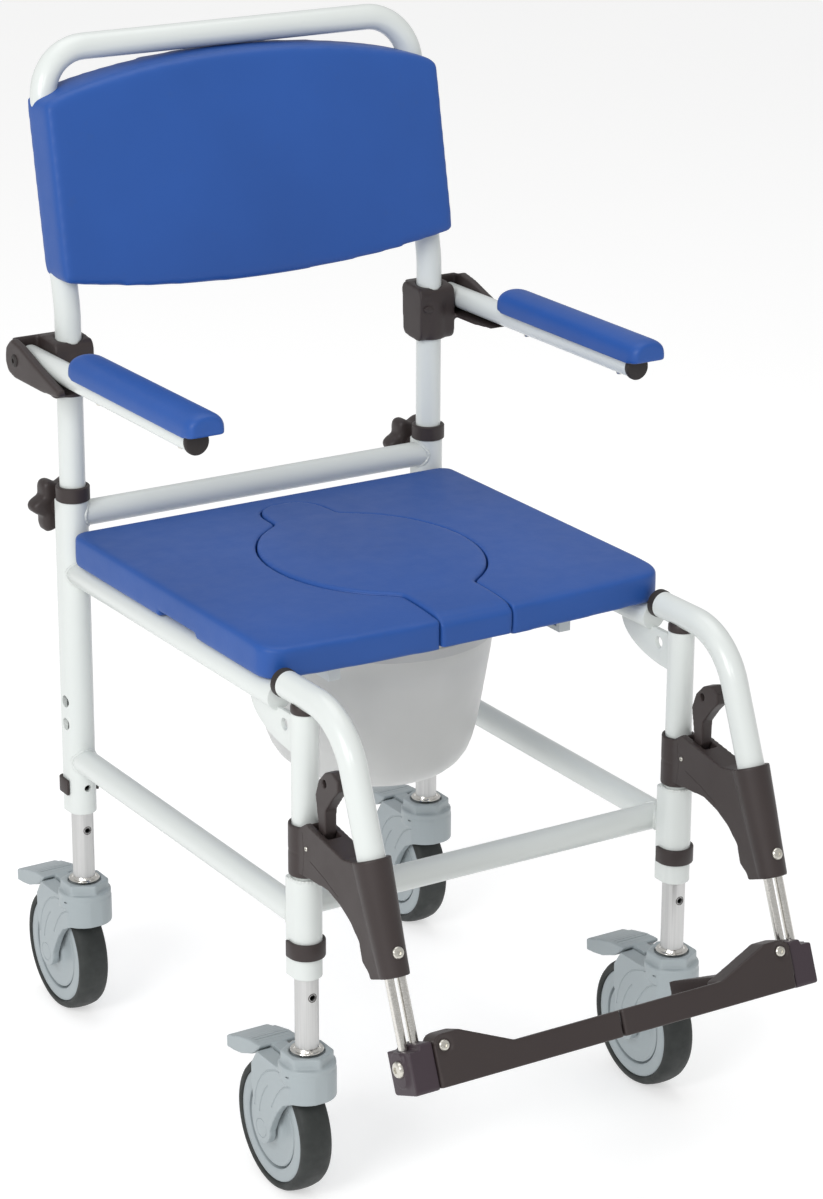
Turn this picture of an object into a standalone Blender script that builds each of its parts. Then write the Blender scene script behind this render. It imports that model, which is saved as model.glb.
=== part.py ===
"""Wheeled commode chair: height-adjustable legs on total-lock casters, sliding pan,
flip-up arms, lift-out back frame and swing-away footrests.

Metres, +Z up. The occupant faces -Y, so +X is the occupant's left side.
The origin is on the floor, under the middle of the chair.
"""
from math import cos, pi, radians, sin, sqrt, tan

import bmesh
import bpy
from mathutils import Matrix, Vector

# ---------------------------------------------------------------- driving dimensions
GAP = 0.0003                 # space left between neighbouring solids
HALF_TRACK = 0.204           # legs and posts stand at x = +-HALF_TRACK
REAR_Y = 0.2751              # axis of the rear legs
FRONT_Y = REAR_Y - 0.448     # axis of the front legs

TUBE_R = 0.0127              # cross tubes, rails, back frame, footrest hangers
TUBE_WALL = 0.0018
SLEEVE_R = 0.0147            # outside of the extruded legs
SLEEVE_BOTTOM = 0.231
LEG_BORE_R = 0.01145         # bore that the adjustable inner leg slides in
POST_BORE_R = 0.0130         # bore that the back frame slides in
REAR_LEG_TOP = 0.5580
COLLAR_R = 0.0168
FRONT_SLEEVE_TOP = 0.327
FRONT_LEG_TOP = 0.485
FRONT_LEG_R = 0.0126

RAIL_Z = 0.485               # seat rails
LOWER_RAIL_Z = 0.287
UPPER_CROSS_Z = 0.5425
LOWER_CROSS_Y = REAR_Y - 0.417

INNER_LEG_R = 0.0111
INNER_LEG_BOTTOM = 0.1573
INNER_LEG_TOP = 0.345
PIN_Z = 0.259
HOLE_PITCH = 0.047

WHEEL_R = 0.064
WHEEL_HALF_WIDTH = 0.016
TRAIL = 0.042                # the wheel axle sits this far behind the swivel axis
FORK_HALF_WIDTH = 0.0250
AXLE_R = 0.0040
STEM_R = 0.0050

SEAT_TOP = 0.531
SEAT_BOTTOM = 0.4981
SEAT_HALF_WIDTH = 0.2165
SEAT_CENTRE_Y = REAR_Y - 0.2235   # middle of the oval opening
OVAL_A = 0.1025              # oval half width
OVAL_B = 0.1265              # oval half length
FRONT_SLOT_HALF = 0.0385
REAR_TAB_HALF = 0.0350
SEAT_FRONT = -0.1875         # from the oval's centre to the front edge of the seat
REAR_TAB_END = 0.1765

BACK_LEAN = radians(11.0)
BACK_BEND_Z = 0.748
PUSH_BAR_Z = 0.990
BACK_TUBE_BOTTOM = 0.392
BACKREST_HALF_WIDTH = 0.2165

ARM_X = 0.2376
ARM_Y = REAR_Y + 0.007
ARM_Z = 0.704
ARM_R = 0.0111
ARM_TIP = REAR_Y - 0.3165

LEAN = radians(22.0)         # footrest stems lean forward by this much, going down
STEM_Y = FRONT_Y - 0.1684    # a point of the stem axis, at height STEM_Z
STEM_Z = 0.250
STEM_ROD_R = 0.0042
STEM_ROD_SPREAD = 0.0060     # each rod's distance from the stem axis

FLIP_X = 0.1812              # footplate hinge axis
FLIP_N = -0.021
PLATE_END_X = 0.1917

SIDES = {"left": 1.0, "right": -1.0}
CORNERS = {
    "front_left": (1.0, FRONT_Y), "front_right": (-1.0, FRONT_Y),
    "rear_left": (1.0, REAR_Y), "rear_right": (-1.0, REAR_Y),
}

# colour, roughness, metallic
FINISHES = {
    "white_powder_coat": ((0.80, 0.83, 0.82), 0.35, 0.0),
    "brown_black_plastic": ((0.045, 0.037, 0.035), 0.50, 0.0),
    "blue_foam_skin": ((0.035, 0.105, 0.38), 0.55, 0.0),
    "grey_caster_plastic": ((0.34, 0.40, 0.43), 0.45, 0.0),
    "tread_rubber": ((0.035, 0.042, 0.042), 0.75, 0.0),
    "brushed_aluminium": ((0.72, 0.72, 0.72), 0.35, 1.0),
    "stainless_rod": ((0.70, 0.68, 0.64), 0.22, 1.0),
    "pan_plastic": ((0.60, 0.60, 0.60), 0.40, 0.0),
}

for old in list(bpy.data.objects):
    bpy.data.objects.remove(old, do_unlink=True)

PARTS = bpy.data.collections.new("commode_chair")
CUTTERS = bpy.data.collections.new("cutters")
for new_collection in (PARTS, CUTTERS):
    bpy.context.scene.collection.children.link(new_collection)


# ---------------------------------------------------------------- helpers
def finish_material(finish):
    """The Principled material of one finish, made once."""
    if finish in bpy.data.materials:
        return bpy.data.materials[finish]
    colour, roughness, metallic = FINISHES[finish]
    mat = bpy.data.materials.new(finish)
    mat.use_nodes = True
    shader = mat.node_tree.nodes["Principled BSDF"]
    shader.inputs["Base Color"].default_value = (*colour, 1.0)
    shader.inputs["Roughness"].default_value = roughness
    shader.inputs["Metallic"].default_value = metallic
    return mat


def new_object(name, data):
    """An object in the cutters collection; as_part() moves the real pieces out."""
    obj = bpy.data.objects.new(name, data)
    CUTTERS.objects.link(obj)
    obj.hide_render = True
    obj.display_type = "WIRE"
    return obj


def as_part(obj, name, finish, pivot=None, smooth=40.0):
    """Make obj a named piece of the chair, with its origin at pivot."""
    CUTTERS.objects.unlink(obj)
    PARTS.objects.link(obj)
    obj.name = name
    obj.hide_render = False
    obj.display_type = "TEXTURED"
    obj.data.materials.clear()
    obj.data.materials.append(finish_material(finish))
    obj.data.shade_smooth()
    obj.data.set_sharp_from_angle(angle=radians(smooth))
    if pivot is not None:
        obj.data.transform(Matrix.Translation(-Vector(pivot)))
        obj.location = Vector(pivot)
    return obj


def from_bmesh(name, bm):
    bmesh.ops.recalc_face_normals(bm, faces=bm.faces)
    mesh = bpy.data.meshes.new(name)
    bm.to_mesh(mesh)
    bm.free()
    return new_object(name, mesh)


def axis_matrix(axis):
    """Turns +Z onto the given direction."""
    return Vector((0, 0, 1)).rotation_difference(Vector(axis)).to_matrix().to_4x4()


def cylinder(radius, start, end, segments=20, top_radius=None):
    """A solid cylinder or cone from start to end."""
    start, end = Vector(start), Vector(end)
    bm = bmesh.new()
    bmesh.ops.create_cone(
        bm, cap_ends=True, segments=segments, radius1=radius,
        radius2=radius if top_radius is None else top_radius, depth=(end - start).length,
        matrix=Matrix.Translation((start + end) / 2) @ axis_matrix(end - start))
    return from_bmesh("cylinder", bm)


def box(low, high):
    low, high = Vector(low), Vector(high)
    bm = bmesh.new()
    size = Matrix.Diagonal((*(high - low), 1.0))
    bmesh.ops.create_cube(bm, size=1.0, matrix=Matrix.Translation((low + high) / 2) @ size)
    return from_bmesh("box", bm)


def prism(outline, low, high, to_world):
    """An outline of (a, b) points, extruded from low to high along the third direction."""
    bm = bmesh.new()
    face = bm.faces.new([bm.verts.new(to_world(a, b, low)) for a, b in outline])
    far_side = bmesh.ops.extrude_face_region(bm, geom=[face])["geom"]
    shift = Vector(to_world(0, 0, high)) - Vector(to_world(0, 0, low))
    bmesh.ops.translate(bm, vec=shift, verts=[v for v in far_side if isinstance(v, bmesh.types.BMVert)])
    return from_bmesh("prism", bm)


def loft(rings):
    """A solid through a row of equal rings of points, closed at both ends."""
    bm = bmesh.new()
    rows = [[bm.verts.new(p) for p in ring] for ring in rings]
    bm.faces.new(rows[0])
    bm.faces.new(rows[-1])
    count = len(rows[0])
    for near, far in zip(rows, rows[1:]):
        for i in range(count):
            j = (i + 1) % count
            bm.faces.new((near[i], near[j], far[j], far[i]))
    return from_bmesh("loft", bm)


def side_view(x):
    """Maps (y, z, width) to the world, for outlines drawn in a plane across X."""
    return lambda y, z, w: (x + w, y, z)


def top_view(x, y):
    return lambda a, b, h: (x + a, y + b, h)


def bevel(obj, width, segments=2, angle=30.0):
    mod = obj.modifiers.new("bevel", "BEVEL")
    mod.width = width
    mod.segments = segments
    mod.limit_method = "ANGLE"
    mod.angle_limit = radians(angle)
    return obj


def boolean(obj, tools, operation):
    for tool in tools:
        mod = obj.modifiers.new(operation.lower(), "BOOLEAN")
        mod.operation = operation
        mod.object = tool
    return obj


def cut(obj, *tools):
    return boolean(obj, tools, "DIFFERENCE")


def join(obj, *tools):
    return boolean(obj, tools, "UNION")


def turn_between(start, end, steps):
    """Directions that swing evenly from start to end."""
    turn = start.rotation_difference(end)
    axis, angle = turn.to_axis_angle()
    return [Matrix.Rotation(angle * i / steps, 3, axis) @ start for i in range(steps + 1)]


def rounded(points, radii, steps=5, closed=True):
    """A polygon or polyline with its corners replaced by arcs of the given radii."""
    points = [Vector((*p, 0.0)) if len(p) == 2 else Vector(p) for p in points]
    flat = all(abs(p.z) < 1e-12 for p in points)
    radii = radii if hasattr(radii, "__len__") else [radii] * len(points)
    result = []
    for i, corner in enumerate(points):
        if not closed and i in (0, len(points) - 1) or radii[i] == 0:
            result.append(corner)
            continue
        before = (points[i - 1] - corner).normalized()
        after = (points[(i + 1) % len(points)] - corner).normalized()
        half = before.angle(after) / 2
        centre = corner + (before + after).normalized() * radii[i] / sin(half)
        reach = radii[i] / tan(half)
        first = corner + before * reach - centre
        last = corner + after * reach - centre
        result += [centre + arm for arm in turn_between(first, last, steps)]
    return [(p.x, p.y) for p in result] if flat and closed else result


def tube(points, radius, wall=0.0, sides=4):
    """A round tube or rod along a polyline; a wall makes it hollow and open at its ends."""
    curve = bpy.data.curves.new("tube", "CURVE")
    curve.dimensions = "3D"
    curve.bevel_depth = radius
    curve.bevel_resolution = sides
    curve.use_fill_caps = wall == 0.0
    spline = curve.splines.new("POLY")
    spline.points.add(len(points) - 1)
    for spot, p in zip(spline.points, points):
        spot.co = (*p, 1.0)
    guide = bpy.data.objects.new("tube_curve", curve)
    CUTTERS.objects.link(guide)
    bpy.context.view_layer.update()
    evaluated = guide.evaluated_get(bpy.context.evaluated_depsgraph_get())
    mesh = bpy.data.meshes.new_from_object(evaluated)
    bm = bmesh.new()
    bm.from_mesh(mesh)
    bmesh.ops.remove_doubles(bm, verts=bm.verts, dist=1e-5)
    bmesh.ops.recalc_face_normals(bm, faces=bm.faces)
    bm.to_mesh(mesh)
    bm.free()
    bpy.data.objects.remove(guide)
    obj = new_object("tube", mesh)
    if wall:
        shell = obj.modifiers.new("wall", "SOLIDIFY")
        shell.thickness = wall
        shell.offset = -1.0
        shell.use_even_offset = True
    return obj


def turned(profile, centre, axis=(0, 0, 1), segments=24, closed=True):
    """A profile of (radius, height) points, turned about an axis through centre."""
    bm = bmesh.new()
    spots = [bm.verts.new((r, 0.0, h)) for r, h in profile]
    for first, second in zip(spots, spots[1:]):
        bm.edges.new((first, second))
    if closed:
        bm.edges.new((spots[-1], spots[0]))
    bmesh.ops.spin(bm, geom=bm.verts[:] + bm.edges[:], cent=(0, 0, 0), axis=(0, 0, 1),
                   angle=2 * pi, steps=segments, use_merge=True)
    bmesh.ops.remove_doubles(bm, verts=bm.verts, dist=1e-6)
    bm.transform(Matrix.Translation(centre) @ axis_matrix(axis))
    return from_bmesh("turned", bm)


def straight_tube(start, end, radius=TUBE_R, wall=TUBE_WALL, segments=20):
    """A straight open-ended tube, turned from its wall's rectangle."""
    start, end = Vector(start), Vector(end)
    length = (end - start).length
    wall_section = [(radius, 0), (radius, length), (radius - wall, length), (radius - wall, 0)]
    return turned(wall_section, start, end - start, segments)


# ---------------------------------------------------------------- frame
def leg_outline(radius, back=1.0):
    """The extruded leg's section: round in front, squared off on the side +Y."""
    front = [(radius * cos(a), radius * sin(a)) for a in [pi + pi * i / 10 for i in range(11)]]
    corner = 0.0045
    square = rounded([(radius, 0.0), (radius, back * radius), (-radius, back * radius), (-radius, 0.0)],
                     [0, corner, corner, 0], 3)
    return front + square[1:-1]


def rear_leg(side, x):
    obj = prism(leg_outline(SLEEVE_R), SLEEVE_BOTTOM, REAR_LEG_TOP, top_view(x, REAR_Y))
    lower_bore = cylinder(LEG_BORE_R, (x, REAR_Y, SLEEVE_BOTTOM - 0.01), (x, REAR_Y, 0.375))
    upper_bore = cylinder(POST_BORE_R, (x, REAR_Y, 0.374), (x, REAR_Y, REAR_LEG_TOP + 0.01))
    pin_hole = cylinder(0.0034, (x, REAR_Y - 0.03, PIN_Z), (x, REAR_Y + 0.03, PIN_Z), 12)
    knob_hole = cylinder(0.0036, (x, REAR_Y, 0.545), (x, REAR_Y + 0.03, 0.545), 12)
    outward = 0.03 if x > 0 else -0.03
    side_holes = [cylinder(0.0065, (x, REAR_Y + 0.001, z), (x + outward, REAR_Y + 0.001, z), 16)
                  for z in (0.326, 0.350)]
    cut(obj, lower_bore, upper_bore, pin_hole, knob_hole, *side_holes)
    as_part(obj, f"rear_leg_{side}", "white_powder_coat")


def front_leg(side, x):
    sleeve = prism(leg_outline(SLEEVE_R), SLEEVE_BOTTOM, FRONT_SLEEVE_TOP, top_view(x, FRONT_Y))
    upper = cylinder(FRONT_LEG_R, (x, FRONT_Y, FRONT_SLEEVE_TOP - 0.02), (x, FRONT_Y, FRONT_LEG_TOP))
    bore = cylinder(LEG_BORE_R, (x, FRONT_Y, SLEEVE_BOTTOM - 0.01), (x, FRONT_Y, FRONT_LEG_TOP + 0.01))
    pin_hole = cylinder(0.0034, (x, FRONT_Y - 0.03, PIN_Z), (x, FRONT_Y + 0.03, PIN_Z), 12)
    join(sleeve, upper)
    cut(sleeve, bore, pin_hole)
    as_part(sleeve, f"front_leg_{side}", "white_powder_coat")


def seat_rail(side, x):
    """The side tube under the seat, with the curved gusset that braces its front end."""
    back = REAR_Y - SLEEVE_R - GAP
    front = FRONT_Y + 0.044
    rail = cylinder(TUBE_R, (x, back, RAIL_Z), (x, front, RAIL_Z))
    leg_face = FRONT_Y + FRONT_LEG_R + GAP
    low, high = 0.440, RAIL_Z - TUBE_R + 0.003
    sweep = [(leg_face + 0.082 * sin(a), high - (high - low) * cos(a))
             for a in [pi / 2 * i / 7 for i in range(8)]]
    outline = [(leg_face, 0.476), (leg_face, low)] + sweep[1:]
    outline += [(front + 0.002, high), (front - 0.006, 0.476)]
    plate = prism(outline, -0.0025, 0.0025, side_view(x))
    inside = cylinder(TUBE_R - TUBE_WALL, (x, back + 0.01, RAIL_Z), (x, front - 0.01, RAIL_Z), 16)
    hole = cylinder(0.0055, (x - 0.02, leg_face + 0.020, 0.463), (x + 0.02, leg_face + 0.020, 0.463), 12)
    join(rail, plate)
    cut(rail, inside, hole)
    as_part(rail, f"seat_rail_{side}", "white_powder_coat")


def frame():
    for side, sign in SIDES.items():
        x = sign * HALF_TRACK
        rear_leg(side, x)
        front_leg(side, x)
        seat_rail(side, x)
        lower = straight_tube((x, REAR_Y - SLEEVE_R - GAP, LOWER_RAIL_Z),
                              (x, FRONT_Y + SLEEVE_R + GAP, LOWER_RAIL_Z))
        as_part(lower, f"lower_rail_{side}", "white_powder_coat")
    reach = HALF_TRACK - SLEEVE_R - GAP
    upper = straight_tube((-reach, REAR_Y, UPPER_CROSS_Z), (reach, REAR_Y, UPPER_CROSS_Z))
    as_part(upper, "upper_cross_tube", "white_powder_coat")
    reach = HALF_TRACK - TUBE_R - GAP
    lower = straight_tube((-reach, LOWER_CROSS_Y, LOWER_RAIL_Z), (reach, LOWER_CROSS_Y, LOWER_RAIL_Z))
    as_part(lower, "lower_cross_tube", "white_powder_coat")


# ---------------------------------------------------------------- back frame, knobs and arms
def lean_back(y, z):
    """The height z on the leaning part of the back posts, y measured forward of their axis."""
    return REAR_Y + (z - BACK_BEND_Z) * tan(BACK_LEAN) + y


def back_frame_path():
    top_y = lean_back(0.0, PUSH_BAR_Z)
    corners = [(HALF_TRACK, REAR_Y, BACK_TUBE_BOTTOM), (HALF_TRACK, REAR_Y, BACK_BEND_Z),
               (HALF_TRACK, top_y, PUSH_BAR_Z)]
    path = corners + [(-x, y, z) for x, y, z in reversed(corners)]
    return rounded(path, [0, 0.10, 0.047, 0.047, 0.10, 0], 5, closed=False)


def back_frame():
    as_part(tube(back_frame_path(), TUBE_R, TUBE_WALL), "back_frame", "white_powder_coat",
            pivot=(0, REAR_Y, BACK_TUBE_BOTTOM))


def backrest():
    """A crowned pad that wraps both leaning posts."""
    half = BACKREST_HALF_WIDTH
    steps = 10
    bottom = [(-half + 2 * half * i / steps, 0.777 - 0.020 * (1 - (2 * i / steps - 1) ** 2))
              for i in range(steps + 1)]
    top = [(half - 2 * half * i / steps, 0.951 + 0.031 * (1 - (2 * i / steps - 1) ** 2) ** 0.8)
           for i in range(steps + 1)]
    top = [(x * 0.995, z) for x, z in top]
    leaning = lambda x, z, depth: (x, lean_back(depth, z), z)
    pad = prism(bottom + top, -0.034, 0.0145, leaning)
    bevel(pad, 0.013, 3, 50.0)
    cut(pad, tube(back_frame_path(), TUBE_R + 0.0007))
    as_part(pad, "backrest", "blue_foam_skin")


def collar_and_knob(side, x):
    """The plastic ring on top of the rear leg, and the star knob that clamps the post."""
    ring = turned([(COLLAR_R, 0.0), (COLLAR_R, 0.0150), (0.0131, 0.0150), (0.0131, 0.0)],
                  (x, REAR_Y, REAR_LEG_TOP + GAP), segments=24)
    as_part(ring, f"collar_{side}", "brown_black_plastic")
    lobes = 6
    knob_y, knob_z = REAR_Y + 0.0265, 0.545
    outline = [((0.0245 + 0.0032 * cos(lobes * a)) * cos(a), (0.0245 + 0.0032 * cos(lobes * a)) * sin(a))
               for a in [2 * pi * i / 36 for i in range(36)]]
    head = prism(outline, knob_y, knob_y + 0.020, lambda a, b, h: (x + a, h, knob_z + b))
    bevel(head, 0.004, 2, 60.0)
    hub = cylinder(0.0095, (x, REAR_Y + SLEEVE_R + GAP, knob_z), (x, knob_y + 0.004, knob_z), 16)
    screw = cylinder(0.0030, (x, REAR_Y + TUBE_R + GAP, knob_z), (x, knob_y + 0.006, knob_z), 12)
    join(head, hub, screw)
    as_part(head, f"back_knob_{side}", "brown_black_plastic", pivot=(x, knob_y, knob_z))


def arm_bracket(side, sign):
    """The clamp on the back post, with the channel that the arm tube turns in."""
    post_x = sign * HALF_TRACK
    inner_x = sign * 0.1845
    channel_in = sign * (ARM_X - ARM_R - 0.0006)
    channel_out = sign * (ARM_X + ARM_R + 0.0006)
    outer_x = sign * 0.2580
    y0 = REAR_Y
    clamp_outline = rounded([(y0 - 0.0165, 0.664), (y0 + 0.019, 0.668), (y0 + 0.022, 0.724),
                             (y0 - 0.0165, 0.720)], 0.004, 2)
    clamp = prism(clamp_outline, min(inner_x, channel_in), max(inner_x, channel_in), side_view(0.0))
    cheek_outline = rounded([(y0 + 0.0285, 0.698), (y0 + 0.0275, 0.713), (y0 + 0.0150, 0.7235),
                             (y0 - 0.0050, 0.7195), (y0 - 0.0350, 0.7095), (y0 - 0.0640, 0.7010),
                             (y0 - 0.0850, 0.6950), (y0 - 0.0830, 0.6890), (y0 - 0.0500, 0.6860),
                             (y0 + 0.0100, 0.6860), (y0 + 0.0230, 0.6895)], 0.003, 2)
    cheek = prism(cheek_outline, min(channel_in, outer_x), max(channel_in, outer_x), side_view(0.0))
    low_x, high_x = sorted((channel_in - sign * 0.0002, channel_out))
    channel = box((low_x, y0 - 0.2, ARM_Z - 0.0145), (high_x, ARM_Y + 0.0145, 0.78))
    rear_wall = box((min(inner_x, outer_x) + 0.006, y0 + 0.0135, 0.687),
                    (max(inner_x, outer_x) - 0.006, y0 + 0.026, 0.720))
    bore = cylinder(POST_BORE_R, (post_x, y0, 0.60), (post_x, y0, 0.80))
    pin = cylinder(0.0042, (sign * 0.222, ARM_Y, ARM_Z), (sign * 0.2555, ARM_Y, ARM_Z), 12)
    bevel(clamp, 0.003, 1, 50.0)
    bevel(cheek, 0.002, 1, 50.0)
    join(clamp, cheek, rear_wall)
    cut(clamp, channel, bore)
    join(clamp, pin)
    as_part(clamp, f"arm_bracket_{side}", "brown_black_plastic")


def armrest(side, sign):
    x = sign * ARM_X
    pivot = (x, ARM_Y, ARM_Z)
    end = ARM_Y + 0.0085
    arm = cylinder(ARM_R, (x, end, ARM_Z), (x, ARM_TIP, ARM_Z))
    inside = cylinder(ARM_R - TUBE_WALL, (x, ARM_Y - 0.018, ARM_Z), (x, ARM_TIP - 0.01, ARM_Z), 16)
    pin_hole = cylinder(0.0045, (x - 0.03, ARM_Y, ARM_Z), (x + 0.03, ARM_Y, ARM_Z), 12)
    cut(arm, inside, pin_hole)
    as_part(arm, f"arm_tube_{side}", "white_powder_coat", pivot=pivot)

    cap = cylinder(ARM_R, (x, ARM_TIP - GAP, ARM_Z), (x, ARM_TIP - 0.0040, ARM_Z))
    spigot = cylinder(ARM_R - TUBE_WALL - GAP, (x, ARM_TIP + 0.012, ARM_Z), (x, ARM_TIP - 0.001, ARM_Z), 16)
    join(cap, spigot)
    as_part(cap, f"arm_cap_{side}", "brown_black_plastic", pivot=pivot)

    half, skirt, middle = 0.0203, 0.006, 0.014
    section = [(half * cos(a), 0.010 + 0.0205 * sin(a) ** 0.7) for a in [pi * i / 12 for i in range(13)]]
    base = [(-half, skirt + 0.002), (-half + 0.002, skirt), (half - 0.002, skirt), (half, skirt + 0.002)]
    section = base + section
    rear, front = REAR_Y - 0.100, REAR_Y - 0.340
    stations = [(rear, 0.72), (rear - 0.0025, 0.90), (rear - 0.009, 1.0),
                (front + 0.009, 1.0), (front + 0.0025, 0.90), (front, 0.72)]
    pad = loft([[(x + a * k, y, ARM_Z + middle + (b - middle) * k) for a, b in section]
                for y, k in stations])
    groove = cylinder(ARM_R + GAP, (x, rear + 0.05, ARM_Z), (x, ARM_TIP - 0.004 - GAP, ARM_Z))
    cut(pad, groove)
    as_part(pad, f"arm_pad_{side}", "blue_foam_skin", pivot=pivot)


# ---------------------------------------------------------------- seat, lid and pan
def smooth_max(first, second, sharpness=7):
    return (first ** sharpness + second ** sharpness) ** (1 / sharpness)


def keyhole():
    """Outline of the lid: an oval with a tab behind and a full-length slot in front."""
    back = REAR_TAB_END
    steps = 12
    rows = [SEAT_FRONT * (1 - i / steps) for i in range(steps)]
    rows += [back * sin(pi / 2 * i / steps) for i in range(steps)]
    right = []
    for y in rows:
        oval = OVAL_A * sqrt(max(0.0, 1 - (y / OVAL_B) ** 2))
        if y < 0:
            end = FRONT_SLOT_HALF
        else:
            end = REAR_TAB_HALF * (1 - (y / back) ** 12) ** 0.5
        right.append((smooth_max(oval, end), y))
    return right + [(-x, y) for x, y in reversed(right)]


def grown(outline, gap):
    """The outline moved outwards by gap, for outlines that run anticlockwise."""
    result = []
    for i, corner in enumerate(outline):
        corner = Vector(corner)
        before = (corner - Vector(outline[i - 1])).normalized()
        after = (Vector(outline[(i + 1) % len(outline)]) - corner).normalized()
        miter = Vector((before.y + after.y, -before.x - after.x)).normalized()
        spread = max(0.4, miter.dot(Vector((after.y, -after.x))))
        spot = corner + miter * gap / spread
        result.append((spot.x, spot.y))
    return result


def seat_outline():
    half = SEAT_HALF_WIDTH
    rear = REAR_Y - COLLAR_R - 0.0004
    corner, middle = FRONT_Y + 0.048, SEAT_CENTRE_Y + SEAT_FRONT
    bow = [(half * k, corner + (middle - corner) * (1 - abs(k) ** 2.2)) for k in
           [-1 + 2 * i / 12 for i in range(13)]]
    radii = [0.022] + [0.0] * 11 + [0.022, 0.010, 0.010]
    return rounded(bow + [(half, rear), (-half, rear)], radii, 4)


def seat_and_lid():
    seat = prism(seat_outline(), SEAT_BOTTOM, SEAT_TOP, top_view(0, 0))
    bevel(seat, 0.007, 2, 60.0)
    rim = grown(keyhole(), 0.0012)
    rim[0] = (rim[0][0], SEAT_FRONT - 0.05)
    rim[-1] = (rim[-1][0], SEAT_FRONT - 0.05)
    opening = prism(rim, SEAT_BOTTOM - 0.01, SEAT_TOP + 0.01, top_view(0, SEAT_CENTRE_Y))
    cut(seat, opening)
    as_part(seat, "seat_pad", "blue_foam_skin", pivot=(0, SEAT_CENTRE_Y, SEAT_BOTTOM))
    lid = prism(keyhole(), SEAT_TOP - 0.024, SEAT_TOP + 0.0035, top_view(0, SEAT_CENTRE_Y))
    bevel(lid, 0.003, 2, 60.0)
    as_part(lid, "seat_lid", "blue_foam_skin", pivot=(0, SEAT_CENTRE_Y, SEAT_TOP))


PAN_Y = REAR_Y - 0.219
PAN_RIM_Z = 0.4800
PAN_SQUASH = 0.89            # the pan is this much narrower than it is long


def pan():
    """The oval tapered bowl with its rectangular sliding flange."""
    outer = [(0.0, 0.3180), (0.066, 0.3182), (0.086, 0.3225), (0.101, 0.3340), (0.1105, 0.3520),
             (0.1180, 0.385), (0.1325, 0.478)]
    inner = [(0.1300, 0.478), (0.1156, 0.386), (0.1080, 0.3535), (0.0990, 0.3365), (0.085, 0.3252),
             (0.066, 0.3209), (0.0, 0.3207)]
    bowl = turned(outer + [(0.1325, 0.4815), (0.1300, 0.4815)] + inner, (0, 0, 0), segments=28,
                  closed=False)
    bowl.data.transform(Matrix.Translation((0, PAN_Y, 0)) @ Matrix.Diagonal((PAN_SQUASH, 1, 1, 1)))
    flange = prism(rounded([(-0.126, -0.140), (0.126, -0.140), (0.126, 0.140), (-0.126, 0.140)], 0.045, 5),
                   PAN_RIM_Z - 0.0012, PAN_RIM_Z + 0.0018, top_view(0, PAN_Y))
    mouth = turned([(0.0, 0.44), (0.1302, 0.44), (0.1302, 0.52), (0.0, 0.52)], (0, 0, 0), segments=28,
                   closed=False)
    mouth.data.transform(Matrix.Translation((0, PAN_Y, 0)) @ Matrix.Diagonal((PAN_SQUASH, 1, 1, 1)))
    cut(flange, mouth)
    join(bowl, flange)
    as_part(bowl, "pan", "pan_plastic", pivot=(0, PAN_Y, PAN_RIM_Z))


def pan_carrier():
    """The U-shaped slide under the seat that the pan's flange runs in."""
    front, rear = REAR_Y - 0.368, REAR_Y - 0.040
    roof = SEAT_BOTTOM - GAP
    outline = [(-0.1325, rear), (-0.1325, front), (0.1325, front), (0.1325, rear)]
    slab = prism(outline, 0.4735, roof, top_view(0, 0))
    inner = 0.1265
    space = box((-inner, front + 0.005, 0.4783), (inner, rear + 0.02, 0.51))
    below = box((-0.1200, front - 0.02, 0.46), (0.1200, rear + 0.02, 0.4905))
    cut(slab, space, below)
    as_part(slab, "pan_carrier", "pan_plastic")


# ---------------------------------------------------------------- legs and casters
def inner_leg(corner, x, y):
    leg = cylinder(INNER_LEG_R, (x, y, INNER_LEG_BOTTOM), (x, y, INNER_LEG_TOP))
    low, high = INNER_LEG_BOTTOM + 0.030, INNER_LEG_TOP + 0.01
    hollow = cylinder(INNER_LEG_R - 0.0022, (x, y, low), (x, y, high), 14)
    stem = cylinder(STEM_R, (x, y, 0.1330), (x, y, INNER_LEG_BOTTOM + 0.005), 12)
    holes = [cylinder(0.0036, (x, y - 0.02, z), (x, y + 0.02, z), 10)
             for z in (PIN_Z - HOLE_PITCH, PIN_Z, PIN_Z + HOLE_PITCH)]
    join(leg, stem)
    cut(leg, hollow, *holes)
    as_part(leg, f"inner_leg_{corner}", "brushed_aluminium", pivot=(x, y, INNER_LEG_BOTTOM))


def leg_pin(corner, x, y, facing):
    """A springy plastic band with a short pin; facing is +1 where it pulls off rearwards."""
    inner, outer = SLEEVE_R + GAP, SLEEVE_R + 0.0032
    if facing < 0:
        wrap = [(outer * cos(a), outer * sin(a)) for a in [pi * i / 10 for i in range(11)]]
        lining = [(inner * cos(a), inner * sin(a)) for a in [pi - pi * i / 10 for i in range(11)]]
        tails = [(-outer, -0.007), (-inner, -0.007)]
        outline = wrap + tails + lining + [(inner, -0.007), (outer, -0.007)]
    else:
        wrap = rounded([(outer, -0.004), (outer, outer), (-outer, outer), (-outer, -0.004)],
                       [0, 0.006, 0.006, 0], 4)
        lining = rounded([(-inner, -0.004), (-inner, inner), (inner, inner), (inner, -0.004)],
                         [0, 0.004, 0.004, 0], 4)
        outline = wrap + lining
    band = prism(outline, PIN_Z - 0.008, PIN_Z + 0.008, lambda a, b, h: (x + a, y + facing * b, h))
    shank = cylinder(0.0030, (x, y + facing * (INNER_LEG_R + GAP), PIN_Z),
                     (x, y + facing * (inner + 0.001), PIN_Z), 10)
    join(band, shank)
    as_part(band, f"leg_pin_{corner}", "brown_black_plastic", pivot=(x, y, PIN_Z))


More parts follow.
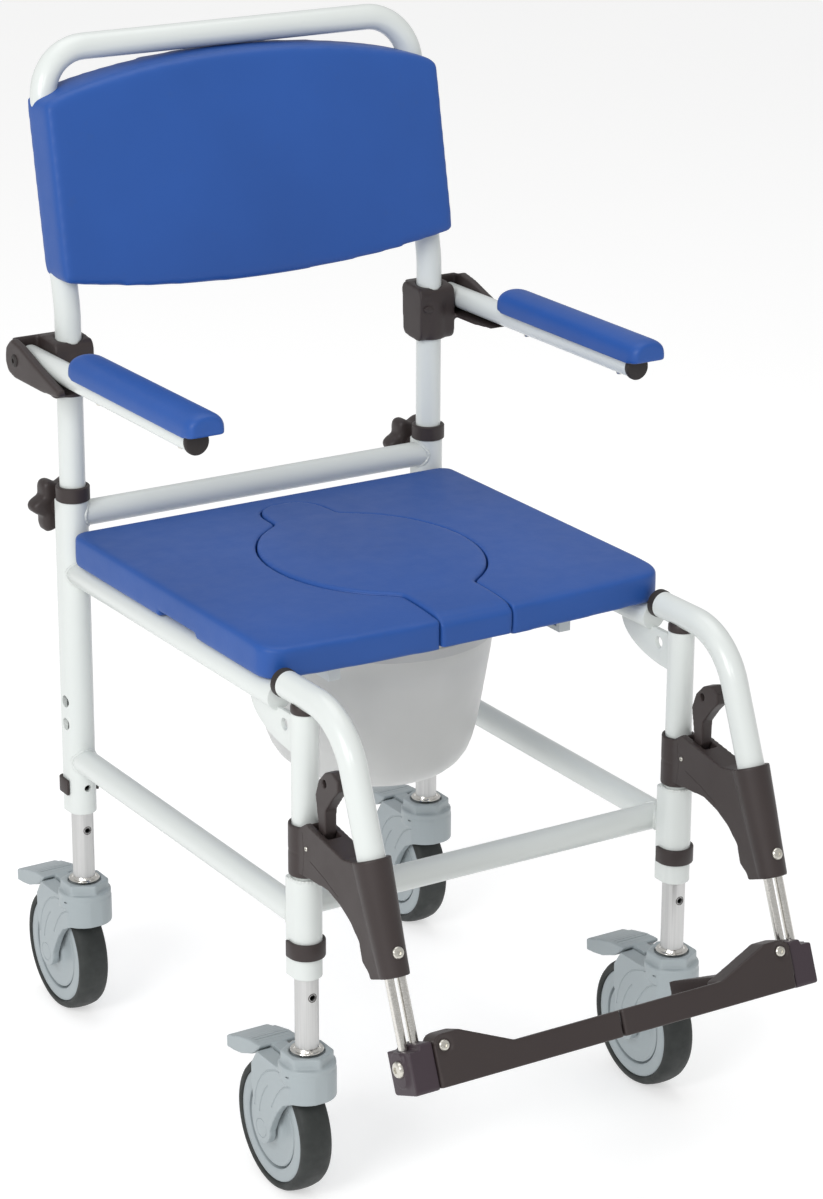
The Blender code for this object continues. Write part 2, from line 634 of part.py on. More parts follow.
def caster(corner, x, y):
    """A total-lock caster that trails behind its leg."""
    axle_y = y + TRAIL
    fork_outline = [(-0.0265, 0.112), (-0.0265, 0.139), (0.050, 0.139), (0.060, 0.124), (0.0575, 0.094)]
    boss = [(TRAIL + 0.0145 * cos(a), WHEEL_R + 0.0145 * sin(a)) for a in
            [0.15 - (pi + 0.3) * i / 8 for i in range(9)]]
    fork_outline += boss + [(0.0225, 0.088), (0.008, 0.106), (-0.012, 0.111)]
    fork = prism([(y + a, b) for a, b in fork_outline], -FORK_HALF_WIDTH, FORK_HALF_WIDTH, side_view(x))
    bevel(fork, 0.004, 2, 60.0)
    trim_profile = [(0.0275, 0.06), (0.0275, 0.16), (0.060, 0.16), (0.060, 0.06)]
    corner_trim = turned(trim_profile, (x, y, 0), segments=24)
    keep_rear = box((x - 0.07, y + 0.002, 0.05), (x + 0.07, y + 0.07, 0.17))
    cut(corner_trim, keep_rear)
    wheel_room = cylinder(0.0672, (x - 0.0172, axle_y, WHEEL_R), (x + 0.0172, axle_y, WHEEL_R), 28)
    flange = cylinder(0.0272, (x, y, 0.1375), (x, y, 0.1460), 24)
    collar_nut = cylinder(0.0245, (x, y, 0.1455), (x, y, 0.1560), 6)
    stem_room = cylinder(STEM_R + GAP, (x, y, 0.1315), (x, y, 0.17), 12)
    lug_room = box((x - 0.0082, y + 0.0295, 0.1200), (x + 0.0082, y + 0.07, 0.16))
    axle = cylinder(AXLE_R, (x - 0.022, axle_y, WHEEL_R), (x + 0.022, axle_y, WHEEL_R), 12)
    cut(fork, corner_trim, wheel_room)
    join(fork, flange, collar_nut, axle)
    pedal_pivot = (x, y + 0.0420, 0.1365)
    pedal_pin = cylinder(0.0018, (x - 0.0110, *pedal_pivot[1:]), (x + 0.0110, *pedal_pivot[1:]), 10)
    cut(fork, stem_room, lug_room)
    join(fork, pedal_pin)
    as_part(fork, f"caster_fork_{corner}", "grey_caster_plastic", pivot=(x, y, INNER_LEG_BOTTOM))

    half = WHEEL_HALF_WIDTH
    section = [(AXLE_R + 0.0004, -half + 0.001), (0.016, -half + 0.001), (0.020, -half + 0.004),
               (0.045, -half + 0.003), (0.050, -half), (0.057, -half), (0.0622, -half + 0.004),
               (WHEEL_R, -0.0060)]
    profile = section + [(r, -h) for r, h in reversed(section)]
    wheel = turned(profile, (x, axle_y, WHEEL_R), (1, 0, 0), segments=28)
    as_part(wheel, f"caster_wheel_{corner}", "tread_rubber", pivot=(x, axle_y, WHEEL_R))

    pedal_outline = [(0.0512, 0.1402), (0.0512, 0.1430), (0.070, 0.1415), (0.110, 0.1310), (0.1135, 0.1280),
                     (0.1130, 0.1180), (0.085, 0.1225), (0.066, 0.1285), (0.060, 0.1325)]
    plate = prism([(y + a, b) for a, b in pedal_outline], -0.0215, 0.0215, side_view(x))
    bevel(plate, 0.0020, 1, 40.0)
    lug = box((x - 0.0075, y + 0.0345, 0.1345), (x + 0.0075, y + 0.0580, 0.1415))
    lug_hole = cylinder(0.0021, (x - 0.01, *pedal_pivot[1:]), (x + 0.01, *pedal_pivot[1:]), 12)
    join(plate, lug)
    cut(plate, lug_hole)
    as_part(plate, f"brake_pedal_{corner}", "grey_caster_plastic", pivot=pedal_pivot)


# ---------------------------------------------------------------- swing-away footrests
def stem_place(f, n):
    """World (y, z) of a point f forward of the stem axis and n along it, upwards."""
    y = STEM_Y - f * cos(LEAN) + n * sin(LEAN)
    z = STEM_Z + f * sin(LEAN) + n * cos(LEAN)
    return y, z


def hanger(side, x):
    pivot = (x, FRONT_Y, FRONT_LEG_TOP)
    socket_y, socket_z = stem_place(0.0, 0.128)
    knee_n = (0.5010 - STEM_Z) / cos(LEAN)
    knee_y, knee_z = stem_place(0.0, knee_n)
    path = rounded([(x, FRONT_Y + 0.0350, 0.5010), (x, knee_y, knee_z), (x, socket_y, socket_z)],
                   [0, 0.068, 0], 7, closed=False)
    pipe = tube(path, TUBE_R)
    cap = cylinder(TUBE_R + 0.0004, (x, FRONT_Y + 0.0340, 0.5010), (x, FRONT_Y + 0.0390, 0.5010))
    plug = cylinder(FRONT_LEG_R, (x, FRONT_Y, FRONT_LEG_TOP + GAP), (x, FRONT_Y, 0.4925))
    spigot = cylinder(LEG_BORE_R - GAP, (x, FRONT_Y, 0.4500), (x, FRONT_Y, 0.4860))
    join(pipe, cap, plug, spigot)
    as_part(pipe, f"hanger_tube_{side}", "white_powder_coat", pivot=pivot)

    at = lambda y, z: (FRONT_Y + y, z)
    outline = [at(-0.010, 0.3810), at(-0.022, 0.3890), at(-0.086, 0.3785), stem_place(-0.0145, 0.1476),
               stem_place(0.0, 0.1476), stem_place(0.0, 0.0440), stem_place(-0.0215, 0.0440),
               stem_place(-0.0225, 0.0500), stem_place(-0.0300, 0.0600), stem_place(-0.0292, 0.0735),
               at(-0.1124, 0.3115), at(-0.0976, 0.3245), at(-0.0806, 0.3340), at(-0.0600, 0.3400),
               at(-0.010, 0.3370)]
    body = prism(outline, -0.0130, 0.0130, side_view(x))
    bevel(body, 0.0030, 2, 45.0)
    clamp = cylinder(0.0156, (x, FRONT_Y, 0.3310), (x, FRONT_Y, 0.3812))
    around = [2 * pi * i / 24 for i in range(24)]
    socket = loft([[(x + r * cos(a), *stem_place(r * sin(a), n)) for a in around]
                   for n, r in ((0.0440, 0.0138), (0.0750, 0.0146), (0.1100, 0.0160), (0.1476, 0.0172))])
    tube_room = cylinder(TUBE_R + GAP, (x, *stem_place(0.0, 0.1277)), (x, *stem_place(0.0, 0.1700)))
    leg_room = cylinder(FRONT_LEG_R + 0.0004, (x, FRONT_Y, 0.3000), (x, FRONT_Y, 0.4200))
    low, high = stem_place(0.0, 0.0300), stem_place(0.0, 0.1255)
    rod_rooms = [cylinder(STEM_ROD_R + GAP, (w, *low), (w, *high), 14)
                 for w in (x - STEM_ROD_SPREAD, x + STEM_ROD_SPREAD)]
    slot = box((x - 0.0068, FRONT_Y - 0.0520, 0.3540), (x + 0.0068, FRONT_Y - 0.0160, 0.4000))
    lever_pivot = (x, FRONT_Y - 0.0230, 0.3655)
    hinge_pin = cylinder(0.0018, (x - 0.012, *lever_pivot[1:]), (x + 0.012, *lever_pivot[1:]), 10)
    join(body, clamp, socket)
    cut(body, tube_room, leg_room, *rod_rooms, slot)
    join(body, hinge_pin)
    as_part(body, f"hanger_casting_{side}", "brown_black_plastic", pivot=pivot)

    lever_outline = [at(-0.0175, 0.3620), at(-0.0185, 0.3700), at(-0.0330, 0.3860), at(-0.0310, 0.3980),
                     at(-0.0275, 0.4180), at(-0.0330, 0.4330), at(-0.0440, 0.4440), at(-0.0560, 0.4480),
                     at(-0.0660, 0.4430), at(-0.0665, 0.4330), at(-0.0560, 0.4220), at(-0.0500, 0.4080),
                     at(-0.0485, 0.3860), at(-0.0330, 0.3600), at(-0.0250, 0.3575)]
    lever = prism(lever_outline, -0.0060, 0.0060, side_view(x))
    bevel(lever, 0.0020, 1, 40.0)
    eye = cylinder(0.0022, (x - 0.01, *lever_pivot[1:]), (x + 0.01, *lever_pivot[1:]), 12)
    hole_spot = at(-0.0440, 0.4330)
    hang_hole = cylinder(0.0038, (x - 0.01, *hole_spot), (x + 0.01, *hole_spot), 12)
    cut(lever, eye, hang_hole)
    as_part(lever, f"release_lever_{side}", "brown_black_plastic", pivot=lever_pivot)


def footrest(side, sign):
    x = sign * HALF_TRACK
    top, bottom = 0.0940, -0.0400
    turn = [pi * i / 6 for i in range(7)]
    path = [(x + STEM_ROD_SPREAD, *stem_place(0.0, top))]
    path += [(x + STEM_ROD_SPREAD * cos(a), *stem_place(0.0, bottom - STEM_ROD_SPREAD * sin(a)))
             for a in turn]
    path += [(x - STEM_ROD_SPREAD, *stem_place(0.0, top))]
    stem = tube(path, STEM_ROD_R, sides=3)
    as_part(stem, f"footrest_stem_{side}", "stainless_rod", pivot=(x, *stem_place(0, top)))

    local = lambda f, n, w: (w, *stem_place(f, n))
    block_outline = rounded([(0.021, -0.015), (0.021, -0.058), (-0.018, -0.058), (-0.018, -0.015)], 0.003, 2)
    low_x, high_x = sorted((sign * 0.1922, sign * 0.2165))
    block = prism(block_outline, low_x, high_x, local)
    boss_low, boss_high = sorted((sign * 0.210, sign * 0.2235))
    boss = prism(rounded([(0.009, -0.019), (0.009, -0.051), (-0.009, -0.051), (-0.009, -0.019)], 0.007, 3),
                 boss_low, boss_high, local)
    room_r = STEM_ROD_SPREAD + STEM_ROD_R + 3 * GAP
    half_room = STEM_ROD_R + 3 * GAP
    room_outline = [(room_r, bottom + 0.0005), (-room_r, bottom + 0.0005)]
    room_outline += [(-room_r * cos(a), bottom - room_r * sin(a)) for a in [pi * i / 8 for i in range(1, 8)]]
    room = prism(room_outline, -half_room, half_room, lambda a, n, f: (x + a, *stem_place(f, n)))
    bores = []
    for w in (x - STEM_ROD_SPREAD, x + STEM_ROD_SPREAD):
        high, deep = stem_place(0.0, 0.02), stem_place(0.0, bottom - 0.002)
        bores.append(cylinder(STEM_ROD_R + GAP, (w, *high), (w, *deep), 14))
    join(block, boss)
    cut(block, room, *bores)
    as_part(block, f"footrest_block_{side}", "brown_black_plastic", pivot=(x, *stem_place(0, -0.015)))
    footplate(side, sign)


def footplate(side, sign):
    """The moulded plate, drawn flat across the stem and narrow at its hinge."""
    end, inner = PLATE_END_X, 0.0006
    front, rear, near_rear = 0.030, -0.065, -0.010
    plan = [(end, near_rear), (end, front), (inner, front), (inner, rear), (0.110, rear), (0.155, near_rear)]
    plan = rounded([(sign * a, b) for a, b in plan], [0.002, 0.002, 0.002, 0.02, 0.02, 0.02], 3)
    slab = prism(plan, -0.0570, -0.0330, lambda a, f, n: (a, *stem_place(f, n)))
    heel = end - FLIP_X
    wedge_outline = [(end, -0.0450)]
    quarter = [pi / 8 * i for i in range(5)]
    wedge_outline += [(FLIP_X + heel * cos(a), FLIP_N + heel * sin(a)) for a in quarter]
    wedge_outline += [(0.1650, FLIP_N + heel), (0.1100, -0.0335), (0.1100, -0.0450)]
    wedge = prism([(sign * a, b) for a, b in wedge_outline], 0.0, front,
                  lambda a, n, f: (a, *stem_place(f, n)))
    bevel(slab, 0.0025, 1, 50.0)
    lip = front - 0.006
    tray_plan = [(-0.05, -0.09), (0.100, -0.09), (0.128, -0.012), (0.112, lip), (-0.05, lip)]
    tray = prism([(sign * a, b) for a, b in tray_plan], -0.0460, -0.0200,
                 lambda a, f, n: (a, *stem_place(f, n)))
    bevel(wedge, 0.0020, 1, 50.0)
    cut(slab, tray)
    join(slab, wedge)
    as_part(slab, f"footplate_{side}", "brown_black_plastic",
            pivot=(sign * FLIP_X, *stem_place(front, FLIP_N)))


# ---------------------------------------------------------------- assembly
def build():
    frame()
    back_frame()
    backrest()
    seat_and_lid()
    pan()
    pan_carrier()
    for side, sign in SIDES.items():
        collar_and_knob(side, sign * HALF_TRACK)
        arm_bracket(side, sign)
        armrest(side, sign)
        hanger(side, sign * HALF_TRACK)
        footrest(side, sign)
    for corner, (sign, y) in CORNERS.items():
        x = sign * HALF_TRACK
        inner_leg(corner, x, y)
        leg_pin(corner, x, y, -1 if y == FRONT_Y else 1)
        caster(corner, x, y)


build()
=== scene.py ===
"""Looks of the rolling commode chair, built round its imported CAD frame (Blender 4.5, metres)."""
from math import atan2, cos, pi, radians, sin, sqrt, tan

import bmesh
import bpy
import numpy as np
from mathutils import Matrix, Vector


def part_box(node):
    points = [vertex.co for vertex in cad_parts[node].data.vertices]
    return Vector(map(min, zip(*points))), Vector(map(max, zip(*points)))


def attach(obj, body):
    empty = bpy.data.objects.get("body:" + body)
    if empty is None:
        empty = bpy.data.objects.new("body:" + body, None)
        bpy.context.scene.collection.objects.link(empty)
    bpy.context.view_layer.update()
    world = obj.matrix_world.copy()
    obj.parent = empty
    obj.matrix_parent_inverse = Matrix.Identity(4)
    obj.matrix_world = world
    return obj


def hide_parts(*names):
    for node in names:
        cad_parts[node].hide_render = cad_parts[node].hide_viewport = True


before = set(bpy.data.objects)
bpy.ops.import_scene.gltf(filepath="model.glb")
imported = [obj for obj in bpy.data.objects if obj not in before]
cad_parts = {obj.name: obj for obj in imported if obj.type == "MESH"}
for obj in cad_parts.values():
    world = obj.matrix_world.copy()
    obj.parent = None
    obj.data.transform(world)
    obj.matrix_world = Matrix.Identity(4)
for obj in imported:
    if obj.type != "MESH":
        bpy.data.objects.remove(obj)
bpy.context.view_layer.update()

SIDES = {"left": 1.0, "right": -1.0}
CORNERS = ("front_left", "front_right", "rear_left", "rear_right")


def centre_of(node):
    low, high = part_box(node)
    return (Vector(low) + Vector(high)) / 2


# ---------------------------------------------------------------- sizes shared with the CAD
HALF_TRACK = centre_of("rear_leg_left").x
REAR_Y = centre_of("rear_leg_left").y
FRONT_Y = centre_of("inner_leg_front_left").y
TUBE_R = 0.0127
SLEEVE_R = 0.0147
LEG_BORE_R = 0.0117
INNER_LEG_R = 0.0111
HOLE_PITCH = 0.047
HOLE_R = 0.0030
LEG_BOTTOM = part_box("rear_leg_left")[0][2]
REAR_LEG_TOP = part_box("rear_leg_left")[1][2]
FRONT_LEG_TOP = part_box("front_leg_left")[1][2]
FRONT_LEG_R = 0.0126
SLEEVE_TOP = 0.327
RAIL_Z = 0.485
LOWER_Z = centre_of("lower_rail_left").z
UPPER_Z = centre_of("upper_cross_tube").z
LOWER_CROSS_Y = centre_of("lower_cross_tube").y
PIN_Z = centre_of("leg_pin_front_left").z
INNER_LEG_BOTTOM = 0.1573
BACK_LEAN = radians(11.0)
BACK_BEND_Z = 0.748
PUSH_BAR_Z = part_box("back_frame")[1][2] - TUBE_R
ARM_X = centre_of("arm_tube_left").x
ARM_Y = REAR_Y + 0.007
ARM_Z = centre_of("arm_tube_left").z
ARM_R = 0.0111
ARM_TIP = REAR_Y - 0.3165
SEAT_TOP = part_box("seat_pad")[1][2]
SEAT_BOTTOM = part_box("seat_pad")[0][2]
SEAT_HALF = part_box("seat_pad")[1][0]
SEAT_CENTRE_Y = REAR_Y - 0.2235
SEAT_FRONT = -0.1875
LID_HALF_WIDTH, LID_HALF_LENGTH = 0.1025, 0.1265
PAN_Y = REAR_Y - 0.219
LEAN = radians(22.0)
STEM_Y, STEM_Z = FRONT_Y - 0.1684, 0.250
STEM_ROD_R, STEM_SPREAD = 0.0042, 0.0060
FLIP_X, FLIP_N = 0.1812, -0.021
PLATE_END = 0.1917
HANGER_Z = 0.5010
CASTING_HALF = 0.0128
STEM_FORWARD = (0, -cos(LEAN), sin(LEAN))
WHEEL_R, TRAIL = 0.064, 0.042


# ---------------------------------------------------------------- materials
class Nodes:
    """A material's node tree with short calls for adding and wiring nodes."""

    def __init__(self, name):
        self.material = bpy.data.materials.new(name)
        self.material.use_nodes = True
        self.tree = self.material.node_tree
        self.shader = self.tree.nodes["Principled BSDF"]
        place = self.tree.nodes.new("ShaderNodeTexCoord")
        self.place = place.outputs["Object"]

    def add(self, kind, settings=None, **inputs):
        node = self.tree.nodes.new(kind)
        for key, value in (settings or {}).items():
            setattr(node, key, value)
        for key, value in inputs.items():
            socket = node.inputs[key.replace("_", " ")]
            if hasattr(value, "links"):
                self.tree.links.new(value, socket)
            else:
                socket.default_value = value
        return node

    def link(self, source, target):
        self.tree.links.new(source, target)

    def noise(self, scale, detail=3.0, rough=0.55):
        node = self.add("ShaderNodeTexNoise", Vector=self.place, Scale=scale, Detail=detail, Roughness=rough)
        return node.outputs["Fac"]

    def ranged(self, value, low, high, from_low=0.3, from_high=0.7):
        node = self.add("ShaderNodeMapRange", Value=value, From_Min=from_low, From_Max=from_high,
                        To_Min=low, To_Max=high)
        return node.outputs["Result"]

    def two_colours(self, factor, first, second):
        node = self.add("ShaderNodeMix", {"data_type": "RGBA"})
        self.link(factor, node.inputs[0])
        node.inputs[6].default_value = (*first, 1.0)
        node.inputs[7].default_value = (*second, 1.0)
        return node.outputs[2]

    def scaled(self, value, amount):
        node = self.add("ShaderNodeMath", {"operation": "MULTIPLY"})
        self.link(value, node.inputs[0])
        node.inputs[1].default_value = amount
        return node.outputs[0]

    def plus(self, first, second):
        node = self.add("ShaderNodeMath", {"operation": "ADD"})
        self.link(first, node.inputs[0])
        self.link(second, node.inputs[1])
        return node.outputs[0]

    def relief(self, height, strength, distance):
        bump = self.add("ShaderNodeBump", Strength=strength, Distance=distance, Height=height)
        self.link(bump.outputs["Normal"], self.shader.inputs["Normal"])


def shade(colour, factor):
    return tuple(min(1.0, c * factor) for c in colour)


def plastic(name, colour, rough, grain_scale, grain_depth, vary=0.06, specular=0.5, coat=0.0, gloss=0.04):
    """A moulded or coated surface: slow colour drift, uneven gloss and a fine relief."""
    m = Nodes(name)
    drift = m.ranged(m.noise(7.0), 0.0, 1.0)
    m.link(m.two_colours(drift, shade(colour, 1 - vary), shade(colour, 1 + vary)),
           m.shader.inputs["Base Color"])
    m.link(m.ranged(m.noise(38.0, 4.0), rough - gloss, rough + gloss), m.shader.inputs["Roughness"])
    fine = m.noise(grain_scale, 2.0)
    slow = m.noise(grain_scale / 9, 2.0)
    m.relief(m.plus(m.scaled(fine, 0.9), m.scaled(slow, 0.1)), 0.35, grain_depth)
    m.shader.inputs["Specular IOR Level"].default_value = specular
    m.shader.inputs["Coat Weight"].default_value = coat
    m.shader.inputs["Coat Roughness"].default_value = 0.12
    return m.material


def foam_skin(name, colour):
    """Integral-skin foam: a leathery pebble grain with faint scuffs."""
    m = Nodes(name)
    drift = m.ranged(m.noise(5.0), 0.0, 1.0)
    base = m.two_colours(drift, shade(colour, 0.93), shade(colour, 1.07))
    scuff = m.ranged(m.noise(60.0, 5.0, 0.7), 0.0, 0.30, 0.60, 0.82)
    mix = m.add("ShaderNodeMix", {"data_type": "RGBA"})
    m.link(scuff, mix.inputs[0])
    m.link(base, mix.inputs[6])
    mix.inputs[7].default_value = (0.035, 0.075, 0.20, 1.0)
    m.link(mix.outputs[2], m.shader.inputs["Base Color"])
    m.link(m.ranged(m.noise(45.0, 4.0), 0.42, 0.49), m.shader.inputs["Roughness"])
    cells = m.add("ShaderNodeTexVoronoi", {"feature": "SMOOTH_F1"}, Vector=m.place, Scale=420.0)
    dents = m.noise(240.0, 3.0)
    m.relief(m.plus(m.scaled(cells.outputs["Distance"], 0.7), m.scaled(dents, 0.3)), 0.30, 0.00022)
    m.shader.inputs["Specular IOR Level"].default_value = 0.30
    return m.material


def metal(name, colour, rough, streak_axis=2, streak=0.5):
    """Drawn or brushed metal, with streaks along one axis."""
    m = Nodes(name)
    squeeze = [900.0, 900.0, 900.0]
    squeeze[streak_axis] = 14.0
    mapping = m.add("ShaderNodeMapping", Vector=m.place)
    mapping.inputs["Scale"].default_value = squeeze
    streaks = m.add("ShaderNodeTexNoise", Vector=mapping.outputs[0], Scale=1.0, Detail=3.0).outputs["Fac"]
    m.link(m.two_colours(m.ranged(streaks, 0.0, 1.0), shade(colour, 0.90), shade(colour, 1.06)),
           m.shader.inputs["Base Color"])
    m.link(m.ranged(streaks, rough - 0.07, rough + 0.09), m.shader.inputs["Roughness"])
    m.shader.inputs["Metallic"].default_value = 1.0
    m.relief(streaks, 0.15 * streak, 0.0002)
    return m.material


def tread_rubber(name):
    """Black rubber, greyed with dust, with faint mould lines."""
    m = Nodes(name)
    dust = m.ranged(m.noise(30.0, 5.0, 0.65), 0.0, 1.0, 0.42, 0.72)
    m.link(m.two_colours(dust, (0.014, 0.017, 0.016), (0.026, 0.030, 0.028)), m.shader.inputs["Base Color"])
    m.link(m.ranged(m.noise(80.0), 0.55, 0.72), m.shader.inputs["Roughness"])
    m.relief(m.noise(700.0, 3.0), 0.3, 0.0004)
    return m.material


def pan_plastic(name):
    """Thin grey-white polypropylene that lets a little light through."""
    m = Nodes(name)
    drift = m.ranged(m.noise(9.0), 0.0, 1.0)
    m.link(m.two_colours(drift, (0.52, 0.525, 0.52), (0.57, 0.575, 0.565)), m.shader.inputs["Base Color"])
    m.link(m.ranged(m.noise(50.0, 4.0), 0.30, 0.42), m.shader.inputs["Roughness"])
    m.shader.inputs["Subsurface Weight"].default_value = 0.25
    m.shader.inputs["Subsurface Radius"].default_value = (0.01, 0.01, 0.01)
    m.shader.inputs["Subsurface Scale"].default_value = 0.4
    m.relief(m.noise(420.0, 2.0), 0.2, 0.0003)
    return m.material


WHITE = plastic("powder_coat", (0.64, 0.672, 0.655), 0.315, 260.0, 0.00003, 0.008, 0.5, 0.2, 0.02)
BEAD = plastic("weld_bead", (0.62, 0.65, 0.63), 0.34, 900.0, 0.0005, 0.04, 0.5, 0.2)
DARK = plastic("brown_black_plastic", (0.036, 0.027, 0.026), 0.46, 1100.0, 0.0003, 0.06, 0.35)
# Dark plastic with a purple tint that is a painted reflection: the block's side faces catch the light
# differently, and that is painted into its colour.
DARK_PAINTED_REFLECTION = plastic("black_plastic_painted_purple_reflection", (0.042, 0.029, 0.037), 0.44, 1100.0, 0.0003, 0.06, 0.35)
RUBBER = plastic("cap_rubber", (0.024, 0.020, 0.019), 0.55, 900.0, 0.0003, 0.06, 0.3)
GREY = plastic("grey_caster_plastic", (0.33, 0.372, 0.388), 0.40, 900.0, 0.0002, 0.03, 0.4)
# A darker copy of the caster grey for the grooves: painted groove shade. No piece uses it.
GREY_PAINTED_GROOVE_SHADE = plastic("grey_painted_groove_shade", (0.10, 0.12, 0.125), 0.6, 900.0, 0.0003, 0.04)
BLUE = foam_skin("blue_foam_skin", (0.018, 0.078, 0.310))
TREAD = tread_rubber("tread_rubber")
PAN = pan_plastic("pan_plastic")
ALUMINIUM = metal("brushed_aluminium", (0.60, 0.60, 0.595), 0.44)
STEEL = metal("stainless_rod", (0.70, 0.685, 0.65), 0.18, 1, 0.4)
ZINC = metal("plated_screw", (0.66, 0.64, 0.58), 0.30, 0, 0.8)


# ---------------------------------------------------------------- mesh helpers
def new_object(name, mesh):
    obj = bpy.data.objects.new(name, mesh)
    bpy.context.scene.collection.objects.link(obj)
    return obj


def from_bmesh(name, bm):
    bmesh.ops.recalc_face_normals(bm, faces=bm.faces)
    mesh = bpy.data.meshes.new(name)
    bm.to_mesh(mesh)
    bm.free()
    return new_object(name, mesh)


def full_turn(count):
    return [2 * pi * i / count for i in range(count)]


def arc_of(start, span, steps):
    return [start + span * i / steps for i in range(steps + 1)]


def from_rings(name, rings, wrap=False):
    """A closed solid through equal rings of points: capped, or joined end to end if wrap."""
    bm = bmesh.new()
    rows = [[bm.verts.new(p) for p in ring] for ring in rings]
    count = len(rows[0])
    if not wrap:
        bm.faces.new(rows[0])
        bm.faces.new(rows[-1])
    pairs = list(zip(rows, rows[1:])) + ([(rows[-1], rows[0])] if wrap else [])
    for near, far in pairs:
        for i in range(count):
            j = (i + 1) % count
            bm.faces.new((near[i], near[j], far[j], far[i]))
    bmesh.ops.remove_doubles(bm, verts=bm.verts, dist=1e-6)
    return from_bmesh(name, bm)


def turned(name, profile, centre, axis=(0, 0, 1), wrap=False, count=48, squash=(1, 1)):
    """A profile of (radius, height) points turned about an axis through centre."""
    turn = Vector((0, 0, 1)).rotation_difference(Vector(axis)).to_matrix()
    rings = []
    for r, h in profile:
        ring = [Vector((r * cos(a) * squash[0], r * sin(a) * squash[1], h))
                for a in full_turn(count)]
        rings.append([turn @ p + Vector(centre) for p in ring])
    return from_rings(name, rings, wrap)


def prism(name, outline, low, high, to_world):
    return from_rings(name,
                      [[to_world(a, b, low) for a, b in outline], [to_world(a, b, high) for a, b in outline]])


def box(low, high):
    low, high = Vector(low), Vector(high)
    outline = [(low.x, low.y), (high.x, low.y), (high.x, high.y), (low.x, high.y)]
    return prism("box", outline, low.z, high.z, lambda a, b, h: (a, b, h))


def cylinder(radius, start, end, count=32):
    start, end = Vector(start), Vector(end)
    return turned("cylinder", [(radius, 0.0), (radius, (end - start).length)], start, end - start,
                  count=count)


def sweep(name, path, radius, count=28, closed=False):
    """A round bar along a path; radius may be one number or one for each point."""
    path = [Vector(p) for p in path]
    last = len(path) - 1
    side = None
    rings = []
    for i, p in enumerate(path):
        before = path[i - 1] if i or closed else p
        after = path[(i + 1) % len(path)] if i < last or closed else p
        along = (after - before).normalized()
        if side is None:
            side = along.orthogonal().normalized()
        side = (side - along * side.dot(along)).normalized()
        other = along.cross(side)
        r = radius[i] if hasattr(radius, "__len__") else radius
        rings.append([p + (side * cos(a) + other * sin(a)) * r
                      for a in full_turn(count)])
    return from_rings(name, rings, closed)


def rounded(points, radii, steps=5, closed=True):
    """A polygon or polyline with its corners replaced by arcs."""
    points = [Vector((*p, 0.0)) if len(p) == 2 else Vector(p) for p in points]
    flat = closed and all(abs(p.z) < 1e-12 for p in points)
    radii = radii if hasattr(radii, "__len__") else [radii] * len(points)
    result = []
    for i, corner in enumerate(points):
        if (not closed and i in (0, len(points) - 1)) or radii[i] == 0:
            result.append(corner)
            continue
        before = (points[i - 1] - corner).normalized()
        after = (points[(i + 1) % len(points)] - corner).normalized()
        half = before.angle(after) / 2
        centre = corner + (before + after).normalized() * radii[i] / sin(half)
        reach = radii[i] / tan(half)
        first = corner + before * reach - centre
        turn = first.rotation_difference(corner + after * reach - centre)
        axis, angle = turn.to_axis_angle()
        result += [centre + Matrix.Rotation(angle * k / steps, 3, axis) @ first for k in range(steps + 1)]
    return [(p.x, p.y) for p in result] if flat else result


def bake(obj):
    """Applies obj's modifiers and removes the tools they used."""
    tools = [m.object for m in obj.modifiers if m.type == "BOOLEAN"]
    bpy.context.view_layer.update()
    mesh = bpy.data.meshes.new_from_object(obj.evaluated_get(bpy.context.evaluated_depsgraph_get()))
    obj.modifiers.clear()
    obj.data = mesh
    for tool in tools:
        bpy.data.objects.remove(tool)
    return obj


def boolean(obj, tools, operation):
    for tool in tools:
        tool.hide_render = True
        mod = obj.modifiers.new(operation.lower(), "BOOLEAN")
        mod.operation = operation
        mod.object = tool
    return obj


def cut(obj, *tools):
    return boolean(obj, tools, "DIFFERENCE")


def join(obj, *tools):
    return boolean(obj, tools, "UNION")


def moulded(obj, voxel, smooth=5, factor=0.5):
    """Rounds every edge of a solid the way a mould does, by remeshing and relaxing it."""
    bake(obj)
    remesh = obj.modifiers.new("remesh", "REMESH")
    remesh.mode = "VOXEL"
    remesh.voxel_size = voxel
    relax = obj.modifiers.new("relax", "SMOOTH")
    relax.factor = factor
    relax.iterations = smooth
    return bake(obj)


def eased(obj, width=0.0010, segments=2, angle=35.0):
    """Small rounded edges, left as a modifier's result."""
    mod = obj.modifiers.new("ease", "BEVEL")
    mod.width = width
    mod.segments = segments
    mod.limit_method = "ANGLE"
    mod.angle_limit = radians(angle)
    return bake(obj)


def moved_copy(obj, name, offset):
    mesh = obj.data.copy()
    mesh.transform(Matrix.Translation(offset))
    return new_object(name, mesh)


def dress(obj, name, body, material, *nodes, smooth=35.0):
    """Names a piece, gives it its material and body, and hides the CAD nodes it stands for."""
    obj.name = name
    obj.hide_render = False
    obj.data.materials.clear()
    obj.data.materials.append(material)
    obj.data.shade_smooth()
    obj.data.set_sharp_from_angle(angle=radians(smooth))
    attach(obj, body)
    if nodes:
        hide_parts(*nodes)
    return obj


